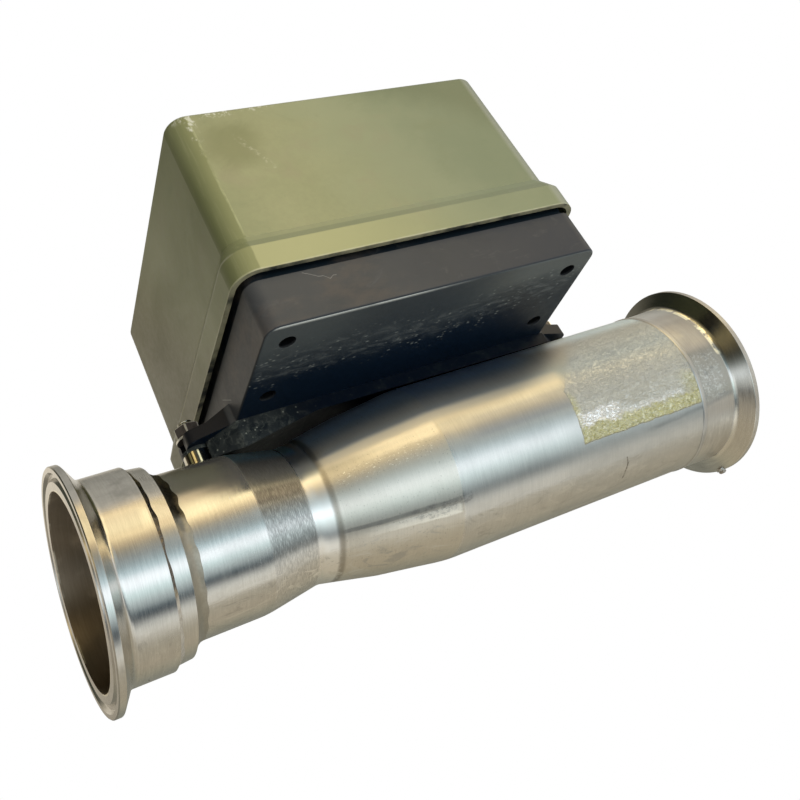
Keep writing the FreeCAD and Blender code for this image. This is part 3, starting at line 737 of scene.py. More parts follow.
@dataclass(frozen=True)
class CoverPlastic(Moulded):
    """The olive cover: yellower skirt, rubbed edges, small chips by the near corner, with painted
    shade, sheen and highlights.
    """

    skirt: Colour = (0.365, 0.360, 0.180)
    # Colour of the rubbing, also used for the painted highlight on the skirt's bottom edge.
    rubbed: Colour = (0.46, 0.45, 0.30)
    step_z: float = 73.5
    ior: float = 1.5

    def make(self) -> bpy.types.Material:
        """The cover plastic as a material.

        Returns:
            The finished material.
        """
        g = Graph(self.name)
        x, y, z = g.axes()
        colour, rough, height = self.tones(g)
        nx, ny, nz = g.facing()
        broad = g.noise((14, 14, 18), 5, 0.6, 0.4) - 0.5
        front = ny.span(-0.5, -0.98)
        side = nx.span(-0.5, -0.95)
        # Painted shade: reach and shadow darken the cover to the right and towards its top right.
        reach = x + z * 0.45 + broad * 90
        shadow = (z + x * 0.55 + broad * 34).span(226, 250)
        cloud = g.noise((45, 45, 60), 5, 0.62, 0.5)
        shade_x = x + z * -0.25 + broad * 20
        stain = front * shade_x.window(60, 68, 13) * (z + x * 0.2 + cloud * 18).window(151, 160, 11)
        low = z.span(self.step_z + 0.4, self.step_z - 0.4) * front
        # Painted shade on the slope of the skirt's step.
        painted_slope_shade = z.window(73.7, 77, 0.4) * front
        foot = side * (y + (z - 100) * -0.5).span(-30, 42)
        nook = abs(nx) * abs(ny)
        near_corner = nx.span(0, -0.01) * ny.span(0, -0.01)
        # Painted sheen on the rounded far corner.
        painted_far_corner_sheen = nx.span(0, 0.01) * ny.span(0, -0.01)
        frayed = nook + (g.noise((160, 160, 45), 5, 0.7) - 0.5) * 0.1
        # Painted shade on the rounded near corner.
        painted_near_corner_shade = frayed.span(0.05, 0.09) * near_corner
        streak = (near_corner * nook.span(0.1, 0.2)
                  * g.noise((420, 420, 26), 4, 0.65).span(0.52, 0.68))
        # Painted highlight along the near corner's edge.
        painted_edge_highlight = (frayed.window(0.045, 0.09, 0.03) * near_corner * ny.span(-0.7, -0.9)
                 * g.noise((150, 150, 60), 4, 0.7).span(0.42, 0.66))
        # Painted shade under the skirt.
        painted_sill_shade = z.span(63.3, 62.8) * nz.span(-0.8, -0.95)
        flecks = g.noise((520, 520, 380), 5, 0.75, 0.6, (0, 0, 35)).span(0.5, 0.6)
        picks = g.noise(150, 3).span(0.4, 0.5)
        edge_up = x.window(82.2, 85.2, 1.2) * z.span(122, 136) * y.span(-78, -80)
        edge_top = z.span(142.4, 146) * y.span(-74, -79) * x.window(80, 116, 8)
        chips = (edge_up | edge_top) * flecks * picks
        # Rubbing on the top; a painted highlight along the skirt's bottom edge.
        rub_and_lip_highlight = z.span(145.4, 147.2) * nz.span(0.995, 0.95) * 0.3 | z.window(62.4, 63, 0.35) * 0.75
        # Painted highlight along the skirt's step on the side, with some edge wear.
        painted_crease_line = z.window(73.3, 73.9, 0.5) * side
        scratch = (g.line(x, z, (103.5, 113), (109.5, 111.6), 0.9)
                   | g.line(x, z, (101, 128), (107, 116), 2.2)) * g.noise(500, 3).span(0.48, 0.66)
        colour = g.coats(
            colour,
            ((0.262, 0.28, 0.16), reach.span(165, 205, 0, 0.9)),
            ((0.2, 0.228, 0.128), reach.span(200, 250, 0, 0.95)),
            ((0.14, 0.165, 0.086), shadow * 0.85),
            ((0.265, 0.245, 0.145), cloud.span(0.52, 0.72, 0, 0.5) * x.span(150, 190, 1, 0.2)),
            ((0.205, 0.225, 0.118), cloud.span(0.46, 0.28, 0, 0.5)),
            ((0.175, 0.182, 0.085), stain * 0.75),
            (self.skirt, low * x.span(100, 190, 0.95, 0.15)),
            ((0.205, 0.225, 0.125), painted_slope_shade * x.span(120, 200, 0.6, 0.2)),
            ((0.16, 0.156, 0.064), foot * 0.95),
            ((0.175, 0.185, 0.075), painted_near_corner_shade * 0.75),
            ((0.25, 0.255, 0.125), streak * 0.7),
            ((0.33, 0.34, 0.27), painted_far_corner_sheen * nook.span(0.05, 0.2) * 0.6),
            ((0.42, 0.43, 0.24), painted_edge_highlight * 0.55),
            ((0.004, 0.01, 0.018), painted_sill_shade * 0.97),
            ((0.62, 0.62, 0.5), chips * 0.9),
            (self.rubbed, rub_and_lip_highlight * g.noise(90, 4).span(0.3, 0.6)),
            ((0.42, 0.4, 0.3), painted_crease_line * 0.75),
            ((0.46, 0.45, 0.32), front * scratch * 0.45))
        # Painted light and shade: the slope's upper part lighter, the front darker to the right,
        # the side darker low down.
        colour = g.tints(
            colour,
            ((1.14, 1.14, 1.14), z.window(77.3, 80.4, 0.3) * front),
            ((0.75, 0.795, 0.86), ny.span(0, -0.7) * (x + broad * 16).span(104, 200)),
            ((0.8, 0.82, 0.74), side * z.span(136, 104)),
            ((0.68, 0.63, 0.36), foot))
        return self.skin(g, colour, rough, height)


@dataclass(frozen=True)
class BasePlastic(Moulded):
    """The black tray: warm haze with painted sheen on the walls, painted shade and reflections,
    scuffs and specks on the underside.
    """

    centre_x: float = 151.2
    half: tuple[float, float] = (76.8, 80.2)
    bloom_and_sheen: Colour = (0.063, 0.065, 0.067)
    far_bloom_and_sheen: Colour = (0.036, 0.040, 0.050)
    scuff: Colour = (0.30, 0.33, 0.33)
    ior: float = 1.3

    def make(self) -> bpy.types.Material:
        """The tray plastic as a material.

        Returns:
            The finished material.
        """
        g = Graph(self.name)
        x, y, z = g.axes()
        colour, rough, height = self.tones(g)
        nx, ny, nz = g.facing()
        out_x = abs(x - self.centre_x) * (1 / self.half[0])
        out_y = abs(y) * (1 / self.half[1])
        outside = (out_x | out_y).span(0.93, 0.955) * out_x.span(1.04, 1.01)
        wall = abs(nz).span(0.6, 0.2) * outside
        # Painted shade inside the tray.
        painted_pit_shade = (out_x | out_y).span(0.955, 0.93) * z.span(39.3, 40.2)
        # Warm haze with painted sheen on the walls, fading to the right.
        bloom_and_sheen = g.mix(self.bloom_and_sheen, self.far_bloom_and_sheen, x.span(110, 212))
        # Painted shade on the lugs.
        lug = out_x.span(1.025, 1.04)
        # The underside is painted dark blue: painted reflection and shade.
        under = nz.span(-0.6, -0.95) * z.span(41, 39.5)
        drift = g.noise(26, 4, 0.6) * 26 - 13
        across = y + drift + x.span(165, 215) * 10
        # Painted shade far back on the underside.
        painted_deep_shade = across.span(-57, -40)
        belt = under * across.window(-56, -47, 7) * x.window(78, 220, 5)
        wisp = g.noise((120, 330, 330), 6, 0.72, 0.9, (0, 0, 8))
        haze = belt * wisp.span(0.44, 0.72)
        specks = (under * across.window(-60, -41, 7)
                  * g.cells((330, 620, 500), False, (0, 0, 14)).span(0.34, 0.12)
                  * g.noise(150, 3).span(0.47, 0.58))
        front = ny.span(-0.5, -0.95)
        side = nx.span(-0.5, -0.95)
        wave = z + (g.noise((260, 0, 0), 2) - 0.5) * 3
        marks = (g.line(x, wave, (97.5, 59.2), (107, 54.6), 0.22) * front
                 | g.line(x, wave, (107, 54.6), (109.6, 55.3), 0.22) * front
                 | g.line(y, z, (-20, 47), (-12, 52), 0.35) * side)
        smudge = g.noise((60, 60, 90), 5, 0.7, 1.5).span(0.56, 0.74) * wall
        tan = wall * g.noise((30, 40, 60), 5, 0.65).span(0.46, 0.64) * x.span(160, 110)
        # Painted highlight along the near bottom edge.
        edge = (z.window(38.92, 39.08, 0.1) * y.span(-78, -80) * x.window(84, 128, 44)
                * g.noise(60, 3).span(0.25, 0.5, 0.5, 1))
        # Painted shade on the wall's top under the cover rim.
        colour = g.coats(
            colour,
            (bloom_and_sheen, wall * g.noise(35, 5, 0.62).span(0.25, 0.62, 0.72, 1)),
            ((0.006, 0.012, 0.018), wall * z.span(60.9, 61.8)),
            ((0.004, 0.005, 0.006), painted_pit_shade),
            ((0.005, 0.006, 0.01), lug * 0.95),
            ((0.03, 0.041, 0.053), under * 0.85),
            (g.mix((0.074, 0.09, 0.098), (0.118, 0.136, 0.14), x.span(160, 200)),
             under * across.span(-54, -66) * (x.span(150, 200) | x.span(130, 90, 0, 0.75)) * 0.95),
            ((0.002, 0.008, 0.02), under * painted_deep_shade * 0.98),
            (self.scuff, haze * x.span(150, 200, 0.26, 0.42)),
            ((0.38, 0.42, 0.41), specks * 0.46),
            ((0.105, 0.105, 0.105), smudge * 0.35),
            ((0.105, 0.088, 0.074), tan * 0.45),
            ((0.3, 0.29, 0.27), marks * 0.6),
            ((0.74, 0.8, 0.8), edge * 0.9))
        rough = rough + (haze | specks) * 0.2
        return self.skin(g, colour, rough, height)


@dataclass(frozen=True)
class DustyPlastic(Moulded):
    """The saddle: dark green-grey moulding with dust and rubbed specks, and painted shade under the
    tray.
    """

    dust: Colour = (0.22, 0.24, 0.21)
    ior: float = 1.25

    def make(self) -> bpy.types.Material:
        """The saddle plastic as a material.

        Returns:
            The finished material.
        """
        g = Graph(self.name)
        colour, rough, height = self.tones(g)
        dust = g.noise(240, 6, 0.75, 0.5).span(0.47, 0.72)
        specks = g.cells(520).span(0.26, 0.12) * g.noise(130, 2).span(0.5, 0.6)
        x, _, _ = g.axes()
        near = x.span(112, 84, 0.06, 1)
        # Painted shade: the saddle darkens and turns navy to the right, under the tray.
        colour = g.shade(colour, x.span(112, 84, 0.14, 0.95))
        blotch = g.noise((130, 200, 130), 5, 0.7, 0.6).span(0.52, 0.6)
        dust, specks = dust * near, specks * near
        colour = g.coats(
            colour,
            ((0.0005, 0.003, 0.009), x.span(84, 112, 0, 0.92)),
            ((0.006, 0.01, 0.014), blotch * 0.75),
            (self.dust, dust * 0.34),
            (shaded(self.dust, 1.5), specks * 0.55))
        return self.skin(g, colour, rough + dust * 0.15, height + dust * 2, 4e-05)


@dataclass(frozen=True)
class Fastener:
    """Bright turned steel with a rolled thread, for studs, screws and nuts."""

    name: str
    colour: Colour = (0.62, 0.59, 0.54)
    roughness: float = 0.2
    pitch: float = 0.8
    thread_from: float = 1000.0

    def thread(self, z: Field) -> Field:
        """Height of the thread: sin(2 pi z / pitch) above its start."""
        ridges = (z * (2 * math.pi / self.pitch)).sine()
        return ridges * z.span(self.thread_from, self.thread_from + 0.1)

    def make(self) -> bpy.types.Material:
        """The fastener steel as a material.

        Returns:
            The finished material.
        """
        g = Graph(self.name)
        _, _, z = g.axes()
        wear = g.noise(380, 4, 0.65)
        lines = g.noise((300, 300, 2600), 2)
        colour = g.mix(self.colour, shaded(self.colour, 0.5), wear.span(0.52, 0.75, 0, 0.8))
        rough = wear.span(0.3, 0.7, self.roughness - 0.06, self.roughness + 0.14)
        wave = self.thread(z)
        normal = g.bump(lines * 0.15 + wave * 0.5, 0.00022, 0.8)
        return g.surface(colour, rough, normal, {"Metallic": 1})


@dataclass(frozen=True)
class NutSteel(Fastener):
    """Hexagon nuts and washers: dark weathered faces with painted highlights on their edges."""

    face: Colour = (0.105, 0.092, 0.088)
    centre: tuple[float, float] = (151.2, 91.6)
    foot: float = 45.3
    top: float = 50.2

    def make(self) -> bpy.types.Material:
        """The nut steel as a material; its edges are found by distance from the stud's axis.

        Returns:
            The finished material.
        """
        g = Graph(self.name)
        x, y, z = g.axes()
        u = abs(x - self.centre[0]) - self.centre[1]
        radius = (u * u + y * y).root()
        wear = g.noise(380, 4, 0.65)
        uneven = (wear - 0.5) * 0.3
        # Painted highlights: bright lines on the nut's corners and the ends of its faces, and on
        # the washer's rim.
        painted_edge_highlight = (radius + uneven).span(5.5, 5.64)
        ends = ((z + uneven).window(self.foot, self.foot + 0.1, 0.08)
                | (z + uneven).span(self.top - 0.35, self.top - 0.12))
        rim = z.span(self.foot, self.foot - 0.1) * radius.span(5.7, 5.9)
        painted_edge_glints = (painted_edge_highlight | ends) * z.span(self.foot - 0.1, self.foot) | rim
        colour = g.coats(
            self.face,
            (shaded(self.face, 0.6), wear.span(0.5, 0.7)),
            ((0.92, 0.89, 0.8), painted_edge_glints * 0.95))
        metal = painted_edge_glints.span(0, 1, 0.55, 0.7)
        rough = g.lerp(wear.span(0.3, 0.7, 0.34, 0.46), 0.3, painted_edge_glints)
        return g.surface(colour, rough, g.bump(wear, 6e-05, 0.6), {"Metallic": metal})


@dataclass(frozen=True)
class StudSteel(Fastener):
    """Weld studs: dark shoulder with painted reflections in streaks about its axis, rolled thread
    above.
    """

    centre: float = 59.6
    dark: Colour = (0.12, 0.10, 0.07)
    painted_navy_reflection: Colour = (0.055, 0.070, 0.090)
    painted_reflections: tuple[tuple[float, float, Colour], ...] = (
        (178.0, 196.0, (0.70, 0.68, 0.60)), (220.0, 226.0, (1.0, 0.90, 0.60)),
        (236.0, 241.0, (1.0, 0.90, 0.60)), (259.0, 263.0, (0.60, 0.66, 0.68)))

    def make(self) -> bpy.types.Material:
        """The stud steel as a material; the painted reflections lie at fixed angles about the stud.

        Returns:
            The finished material.
        """
        g = Graph(self.name)
        x, y, z = g.axes()
        azimuth = (y * -1).angle((x - self.centre) * -1) + 180
        wear = g.noise(380, 4, 0.65)
        # Painted reflections: a navy side and bright streaks about the stud's axis; the stud near
        # the outlet stays dark.
        colour = g.mix(self.dark, self.painted_navy_reflection, azimuth.span(243, 252))
        for start, end, tone in self.painted_reflections:
            colour = g.mix(colour, tone, azimuth.window(start, end, 3) * 0.95)
        colour = g.mix(colour, self.colour, z.span(43, 44))
        colour = g.shade(colour, wear.span(0.35, 0.7, 1.05, 0.75))
        colour = g.mix(colour, self.dark, x.span(150, 160) * 0.8)
        wave = self.thread(z)
        normal = g.bump(wear * 0.1 + wave * 0.5, 0.00022, 0.8)
        return g.surface(colour, wear.span(0.3, 0.7, self.roughness, self.roughness + 0.1), normal,
                         {"Metallic": 1})


@dataclass(frozen=True)
class Wound:
    """Enamelled copper wire wound in close turns."""

    name: str
    colour: Colour = (0.50, 0.19, 0.07)
    wires: float = 2200.0

    def make(self) -> bpy.types.Material:
        """The winding as a material: a wave of height across the turns, with painted shade in the
        grooves between them.

        Returns:
            The finished material.
        """
        g = Graph(self.name)
        _, _, z = g.axes()
        ridge = abs((z * (math.pi * self.wires * MM)).sine())
        tone = g.noise((90, 90, 500), 3)
        colour = g.mix(self.colour, shaded(self.colour, 0.55), tone.span(0.4, 0.7))
        # Painted shade in the grooves between the turns.
        colour = g.shade(colour, ridge.span(0, 0.6, 0.45, 1))
        return g.surface(colour, tone.span(0.3, 0.7, 0.3, 0.45), g.bump(ridge, 0.0002, 0.8),
                         {"Metallic": 0.7})


@dataclass(frozen=True)
class BoardLaminate:
    """Circuit board: green lacquer over faint tracks and tinned pads."""

    name: str
    colour: Colour = (0.012, 0.085, 0.035)

    def make(self) -> bpy.types.Material:
        """The laminate as a material.

        Returns:
            The finished material.
        """
        g = Graph(self.name)
        tracks = g.cells((120, 190, 1), True).span(0.03, 0.06, 1, 0)
        pads = g.cells((210, 210, 1)).span(0.2, 0.15)
        picks = g.noise((70, 70, 1), 2).span(0.52, 0.56)
        colour = g.coats(
            self.colour,
            ((0.03, 0.17, 0.07), tracks * 0.7),
            ((0.55, 0.53, 0.48), pads * picks))
        return g.surface(colour, tracks.span(0, 1, 0.28, 0.36),
                         g.bump(tracks | pads * picks, 6e-05, 0.7),
                         {"Metallic": pads * picks * 0.9})


@dataclass(frozen=True)
class Surface:
    """A grid of points that closes on itself both ways, or between two poles."""

    points: np.ndarray
    poles: bool = False

    def mesh(self, name: str) -> bpy.types.Mesh:
        """Quads between neighbouring points, wrapping round both ways, or from pole to pole.

        Args:
            name: the mesh's name.

        Returns:
            The mesh, smooth shaded.
        """
        rows, columns, _ = self.points.shape
        i, j = np.meshgrid(np.arange(rows), np.arange(columns - 1 if self.poles else columns),
                           indexing="ij")
        i2, j2 = (i + 1) % rows, (j + 1) % columns
        quads = np.stack([i * columns + j, i * columns + j2, i2 * columns + j2, i2 * columns + j],
                         -1).reshape(-1, 4)
        mesh = bpy.data.meshes.new(name)
        mesh.vertices.add(rows * columns)
        places = (self.points.reshape(-1, 3) * MM).astype(np.float32)
        mesh.vertices.foreach_set("co", places.ravel())
        mesh.loops.add(quads.size)
        mesh.loops.foreach_set("vertex_index", quads.astype(np.int32).ravel())
        mesh.polygons.add(len(quads))
        mesh.polygons.foreach_set("loop_start", np.arange(0, quads.size, 4, dtype=np.int32))
        mesh.polygons.foreach_set("loop_total", np.full(len(quads), 4, np.int32))
        mesh.polygons.foreach_set("use_smooth", np.ones(len(quads), bool))
        mesh.update(calc_edges=True)
        if self.poles:
            work = bmesh.new()
            work.from_mesh(mesh)
            bmesh.ops.remove_doubles(work, verts=work.verts, dist=1e-7)
            bmesh.ops.recalc_face_normals(work, faces=work.faces)
            work.to_mesh(mesh)
            work.free()
        mesh.validate()
        return mesh


class Assembly:
    """A group of the meter's parts that are made and dressed together."""

    title = "assembly"

    def dress(self, material: bpy.types.Material, *nodes: str) -> None:
        """Put a finish in every material slot of CAD nodes.

        Args:
            material: the finish.
            *nodes: names of the CAD nodes.
        """
        for node in nodes:
            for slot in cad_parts[node].material_slots:
                slot.material = material
            log.info("%s: %s wears %s", self.title, node, material.name)

    def add(self, surface: Surface, name: str, node: str | None, slot: str,
            material: bpy.types.Material) -> bpy.types.Object:
        """Put a new piece on the meter.

        Args:
            surface: the piece's shape, in millimetres.
            name: its name.
            node: the CAD node it stands for, or None where it stands for none.
            slot: the record's material slot; not used.
            material: its finish.

        Returns:
            The new object.
        """
        mesh = surface.mesh(name)
        mesh.materials.append(material)
        piece = bpy.data.objects.new(name, mesh)
        bpy.context.scene.collection.objects.link(piece)
        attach(piece, "root")
        if node:
            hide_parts(node)
        log.info("%s: %s made with %d faces", self.title, name, len(mesh.polygons))
        return piece

    def build(self) -> None:
        """Make and dress the group."""
        raise NotImplementedError


@dataclass
class MeterTube(Assembly):
    """Ferrules, reducing ring, meter shell and the lined bore."""

    title = "meter tube"
    inlet: FerruleSteel = FerruleSteel("inlet_ferrule_look", (0.62, 0.60, 0.56), 0.18, 0.35, 0.30,
                                       0.45, 0.70)
    outlet: FerruleSteel = FerruleSteel("outlet_ferrule_look", (0.60, 0.58, 0.54), 0.17, 0.25, 0.35,
                                        0.3, 0.85, -46.0, (0.37, 0.345, 0.30), dull=1.3)
    ring: Steel = Steel("ring_steel_look", (0.62, 0.60, 0.56), 0.22, 0.5, 0.3, 0.45, 0.62)
    shell: ShellSteel = ShellSteel("shell_steel_look", (0.62, 0.60, 0.56), 0.20, 0.4, 0.35, 0.35)
    inner: Steel = Steel("inner_steel_look", (0.52, 0.51, 0.49), 0.38, 0.6, 0.5)
    lining: Moulded = Moulded("liner_look", (0.085, 0.068, 0.052), (0.055, 0.045, 0.036), 0.36, 0.4)
    burr_half: tuple[float, float, float] = (1.5, 1.9, 2.2)
    burr_x: float = 299.2
    burr_r: float = 45.4
    burr_turn: float = -105.0
    burr_floor: float = -45.45

    def burr(self) -> Surface:
        """Small torn lump on the outlet rim.

        At angles u and v a ball's point (cos v cos u, sin v, cos v sin u) is stretched to the
        lump's half sizes and pushed out by a sum of three sines of u and v; it is laid along the
        rim's edge at its angle about the pipe.

        Returns:
            The closed lump.
        """
        u = np.linspace(0, 2 * math.pi, 40, endpoint=False)[:, None]
        v = np.linspace(-math.pi / 2, math.pi / 2, 22)[None, :]
        swell = 1.0
        for size, wave in ((0.22, 3 * u + 1.1), (0.16, 5 * u - 4 * v), (0.10, 2 * v + 7 * u)):
            swell = swell + size * np.sin(wave) * np.cos(v)
        ball = (np.cos(v) * np.cos(u), np.sin(v) + 0 * u, np.cos(v) * np.sin(u))
        out, along, round_rim = (half * swell * c for half, c in zip(self.burr_half, ball))
        angle = math.radians(self.burr_turn)
        r = self.burr_r + out
        y = -(r * math.cos(angle) - round_rim * math.sin(angle))
        z = np.maximum(r * math.sin(angle) + round_rim * math.cos(angle), self.burr_floor)
        return Surface(np.stack([self.burr_x + along, y, z], -1), True)

    def build(self) -> None:
        """Dress the tube's nodes and add the torn lump."""
        self.dress(self.inlet.make(), "inlet_ferrule")
        outlet = self.outlet.make()
        self.dress(outlet, "outlet_ferrule")
        self.add(self.burr(), "rim_burr", None, "ferrule_steel", outlet)
        self.dress(self.ring.make(), "inlet_ring")
        self.dress(self.shell.make(), "meter_shell")
        self.dress(self.inner.make(), "measuring_tube", "outlet_cone", "lead_bush")
        self.dress(self.lining.make(), "liner")


@dataclass
class WeldSeams(Assembly):
    """The two rippled beads at the inlet and the ground seam at the outlet."""

    title = "welds"
    metal: WeldMetal = WeldMetal("inlet_bead_look", clean_to=-42.0, clean=(0.52, 0.49, 0.43),
                                 sheen=0.2)
    hollow: WeldMetal = WeldMetal("neck_bead_look", (0.12, 0.105, 0.08), (0.30, 0.25, 0.16),
                                  (0.045, 0.045, 0.045), -2.0, (0.36, 0.335, 0.275), 14.0, 0.6)
    around: int = 720
    steps: int = 26
    inlet_x: float = 24.4
    inlet_front: float = 36.7
    inlet_leg: float = 2.2
    inlet_rise: float = 1.2
    neck_x: float = 31.6
    neck_high: float = 36.0
    neck_low: float = 31.5
    neck_length: float = 6.2
    root_depth: tuple[float, float] = (0.25, 0.3)
    inlet_bow: float = 0.16
    inlet_ripple: float = 0.09
    neck_bow: float = 0.12
    neck_ripple: float = 0.05
    ripples: int = 78
    seed: int = 7

    def wander(self, turn: np.ndarray, size: float, waves: int) -> np.ndarray:
        """Smooth unevenness round the pipe: a sum of sines of whole numbers of waves, with seeded
        phases and strengths that fall with the wave number, scaled to size.

        Args:
            turn: angles about the pipe in radians.
            size: the largest swing.
            waves: one more than the highest wave number.

        Returns:
            The swing at each angle.
        """
        rng = np.random.default_rng(self.seed + waves)
        number = np.arange(2, waves)
        phase = rng.uniform(0, 2 * math.pi, len(number))
        strength = rng.normal(0, 1, len(number)) / np.sqrt(number)
        total = (strength[:, None] * np.sin(number[:, None] * turn[None, :]
                                            + phase[:, None])).sum(0)
        return size * total / np.abs(total).max()

    def inlet_bead(self) -> Surface:
        """Fillet bead in the corner of collar and ring.

        Its section is a bowed triangle: at share t from the collar to the toe, x = x0 + leg t and
        r = front + rise (1 - t)^1.3 + a bow of sine t. Crescent ripples lift r by a sine of the
        turn whose phase lags along t, and the leg and the rise wander round the pipe.

        Returns:
            The closed bead.
        """
        turn = np.linspace(0, 2 * math.pi, self.around, endpoint=False)
        t = np.linspace(0, 1, self.steps)
        leg = self.inlet_leg * (0.72 + self.wander(turn, 0.28, 34))
        rise = self.inlet_rise * (0.84 + self.wander(turn, 0.16, 46))
        lag = self.wander(turn, 1.6, 24)[:, None]
        ripple = self.inlet_ripple * np.sin(self.ripples * turn[:, None] - 2.4 * t[None, :] + lag)
        bow = np.sin(math.pi * t)[None, :]
        x = self.inlet_x + leg[:, None] * t[None, :]
        r = self.inlet_front + rise[:, None] * (1 - t[None, :]) ** 1.3
        r = r + bow * (self.inlet_bow + ripple)
        r = np.minimum(r, self.inlet_front + self.inlet_rise)
        return self.turned(x, r, turn, self.inlet_front - self.root_depth[0])

    def neck_bead(self) -> Surface:
        """Hollow fillet from ring to neck.

        At share t from the ring to the neck, x = x0 + length t and r = low + height (1 - t)^2.1,
        lifted by crescent ripples that fade at both toes; length and height wander.

        Returns:
            The closed bead.
        """
        turn = np.linspace(0, 2 * math.pi, self.around, endpoint=False)
        t = np.linspace(0, 1, self.steps)
        length = self.neck_length * (0.90 + self.wander(turn, 0.10, 30))
        height = (self.neck_high - self.neck_low) * (0.96 + self.wander(turn, 0.04, 34))
        degrees = np.degrees(turn)
        above = np.maximum(ramp(degrees, 85, 40), 0.15) * np.maximum(ramp(degrees, 300, -40), 0.15)
        lag = self.wander(turn, 1.8, 22)[:, None]
        ripple = np.sin(self.ripples * turn[:, None] + 2.8 * t[None, :] + lag)
        ripple = self.neck_ripple * above[:, None] * ripple
        bow = (np.sin(math.pi * t) ** 0.8)[None, :]
        x = self.neck_x + length[:, None] * t[None, :]
        r = self.neck_low + 0.06 + height[:, None] * (1 - t[None, :]) ** 2.1
        r = r + bow * (self.neck_bow + ripple)
        return self.turned(x, np.minimum(r, self.neck_high), turn,
                           self.neck_low - self.root_depth[1])

    def turned(self, x: np.ndarray, r: np.ndarray, turn: np.ndarray, root: float) -> Surface:
        """Closed bead of an outer line, carried round the pipe: (x, -r sin, -r cos) of the turn.

        Args:
            x: place along the pipe, a row of points for each turn.
            r: radius of the same points.
            turn: the turns in radians.
            root: radius at which the line is closed, inside the metal.

        Returns:
            The bead.
        """
        spin, floor = turn[:, None], np.full((len(turn), 1), root)
        x = np.concatenate([x, x[:, -1:], x[:, :1]], 1)
        r = np.concatenate([r, floor, floor], 1)
        return Surface(np.stack([x, -r * np.sin(spin), -r * np.cos(spin)], -1))

    def build(self) -> None:
        """Make the two beads and dress the outlet seam."""
        self.add(self.inlet_bead(), "inlet_bead", "inlet_weld", "weld_steel", self.metal.make())
        self.add(self.neck_bead(), "neck_bead", "neck_weld", "weld_steel", self.hollow.make())
        seam = Steel("outlet_seam_look", (0.55, 0.54, 0.52), 0.36, 0.8, 0.4, 0.3, 0.75, -46.0,
                     (0.38, 0.36, 0.32)).make()
        self.dress(seam, "outlet_weld")


@dataclass
class Mounting(Assembly):
    """Saddle, studs, washers and nuts between the tube and the box."""

    title = "mounting"
    saddle: DustyPlastic = DustyPlastic("saddle_look", (0.036, 0.044, 0.044), (0.014, 0.018, 0.022),
                                        0.5, 0.6)
    stud: StudSteel = StudSteel("stud_look", (0.56, 0.53, 0.46), 0.14, 1.0, 44.0)
    nut: NutSteel = NutSteel("nut_look")
    small_nut: Fastener = Fastener("small_nut_look", (0.40, 0.37, 0.33), 0.18)

    def build(self) -> None:
        """Dress the mounting's nodes."""
        self.dress(self.saddle.make(), "saddle")
        self.dress(self.stud.make(), "studs")
        self.dress(self.nut.make(), "washers", "nuts")
        self.dress(self.small_nut.make(), "lead_nut", "electrode_nuts")


@dataclass
class ConverterBox(Assembly):
    """Tray, gasket, cover and its screws."""

    title = "converter box"
    cover: CoverPlastic = CoverPlastic("cover_look", (0.278, 0.282, 0.150), (0.250, 0.258, 0.136),
                                       0.40, 0.5)
    base: BasePlastic = BasePlastic("base_look", (0.030, 0.033, 0.037), (0.022, 0.026, 0.031), 0.42,
                                    0.6)
    gasket: Moulded = Moulded("gasket_look", (0.020, 0.021, 0.022), (0.014, 0.015, 0.016), 0.62,
                              0.8)
    screw: Fastener = Fastener("screw_look", (0.55, 0.53, 0.49), 0.25)

    def build(self) -> None:
        """Dress the box's nodes."""
        self.dress(self.cover.make(), "cover")
        self.dress(self.base.make(), "converter_base")
        self.dress(self.gasket.make(), "base_gasket", "plug_seals")
        self.dress(self.screw.make(), "cover_screws")


@dataclass
class FlowSensor(Assembly):
    """Coils, iron and electrodes round the bore."""

    title = "flow sensor"
    winding: Wound = Wound("winding_look")
    iron: Steel = Steel("pole_steel_look", (0.36, 0.36, 0.37), 0.42, 0.9, 0.6)
    electrode: Steel = Steel("electrode_look", (0.60, 0.59, 0.58), 0.2, 0.3, 0.2)
    bush: Moulded = Moulded("insulation_look", (0.62, 0.60, 0.54), (0.55, 0.53, 0.47), 0.4, 0.4)

    def build(self) -> None:
        """Dress the sensor's nodes."""
        self.dress(self.winding.make(), "field_coils")
        self.dress(self.iron.make(), "pole_shoes", "field_yoke")
        self.dress(self.electrode.make(), "electrodes")
        self.dress(self.bush.make(), "electrode_bushes")


@dataclass
class Electronics(Assembly):
    """Board, blocks, posts and cable entries."""

    title = "electronics"
    board: BoardLaminate = BoardLaminate("board_look")
    block: Moulded = Moulded("block_look", (0.045, 0.047, 0.050), (0.032, 0.034, 0.037), 0.4, 0.5)
    brass: Fastener = Fastener("post_look", (0.62, 0.45, 0.18), 0.22)
    plug: Moulded = Moulded("plug_look", (0.036, 0.038, 0.042), (0.026, 0.029, 0.033), 0.38, 0.6)

    def build(self) -> None:
        """Dress the electronics' nodes."""
        self.dress(self.board.make(), "circuit_board")
        self.dress(self.block.make(), "power_block", "terminal_block")
        self.dress(self.brass.make(), "posts")
        self.dress(self.plug.make(), "entry_plugs")


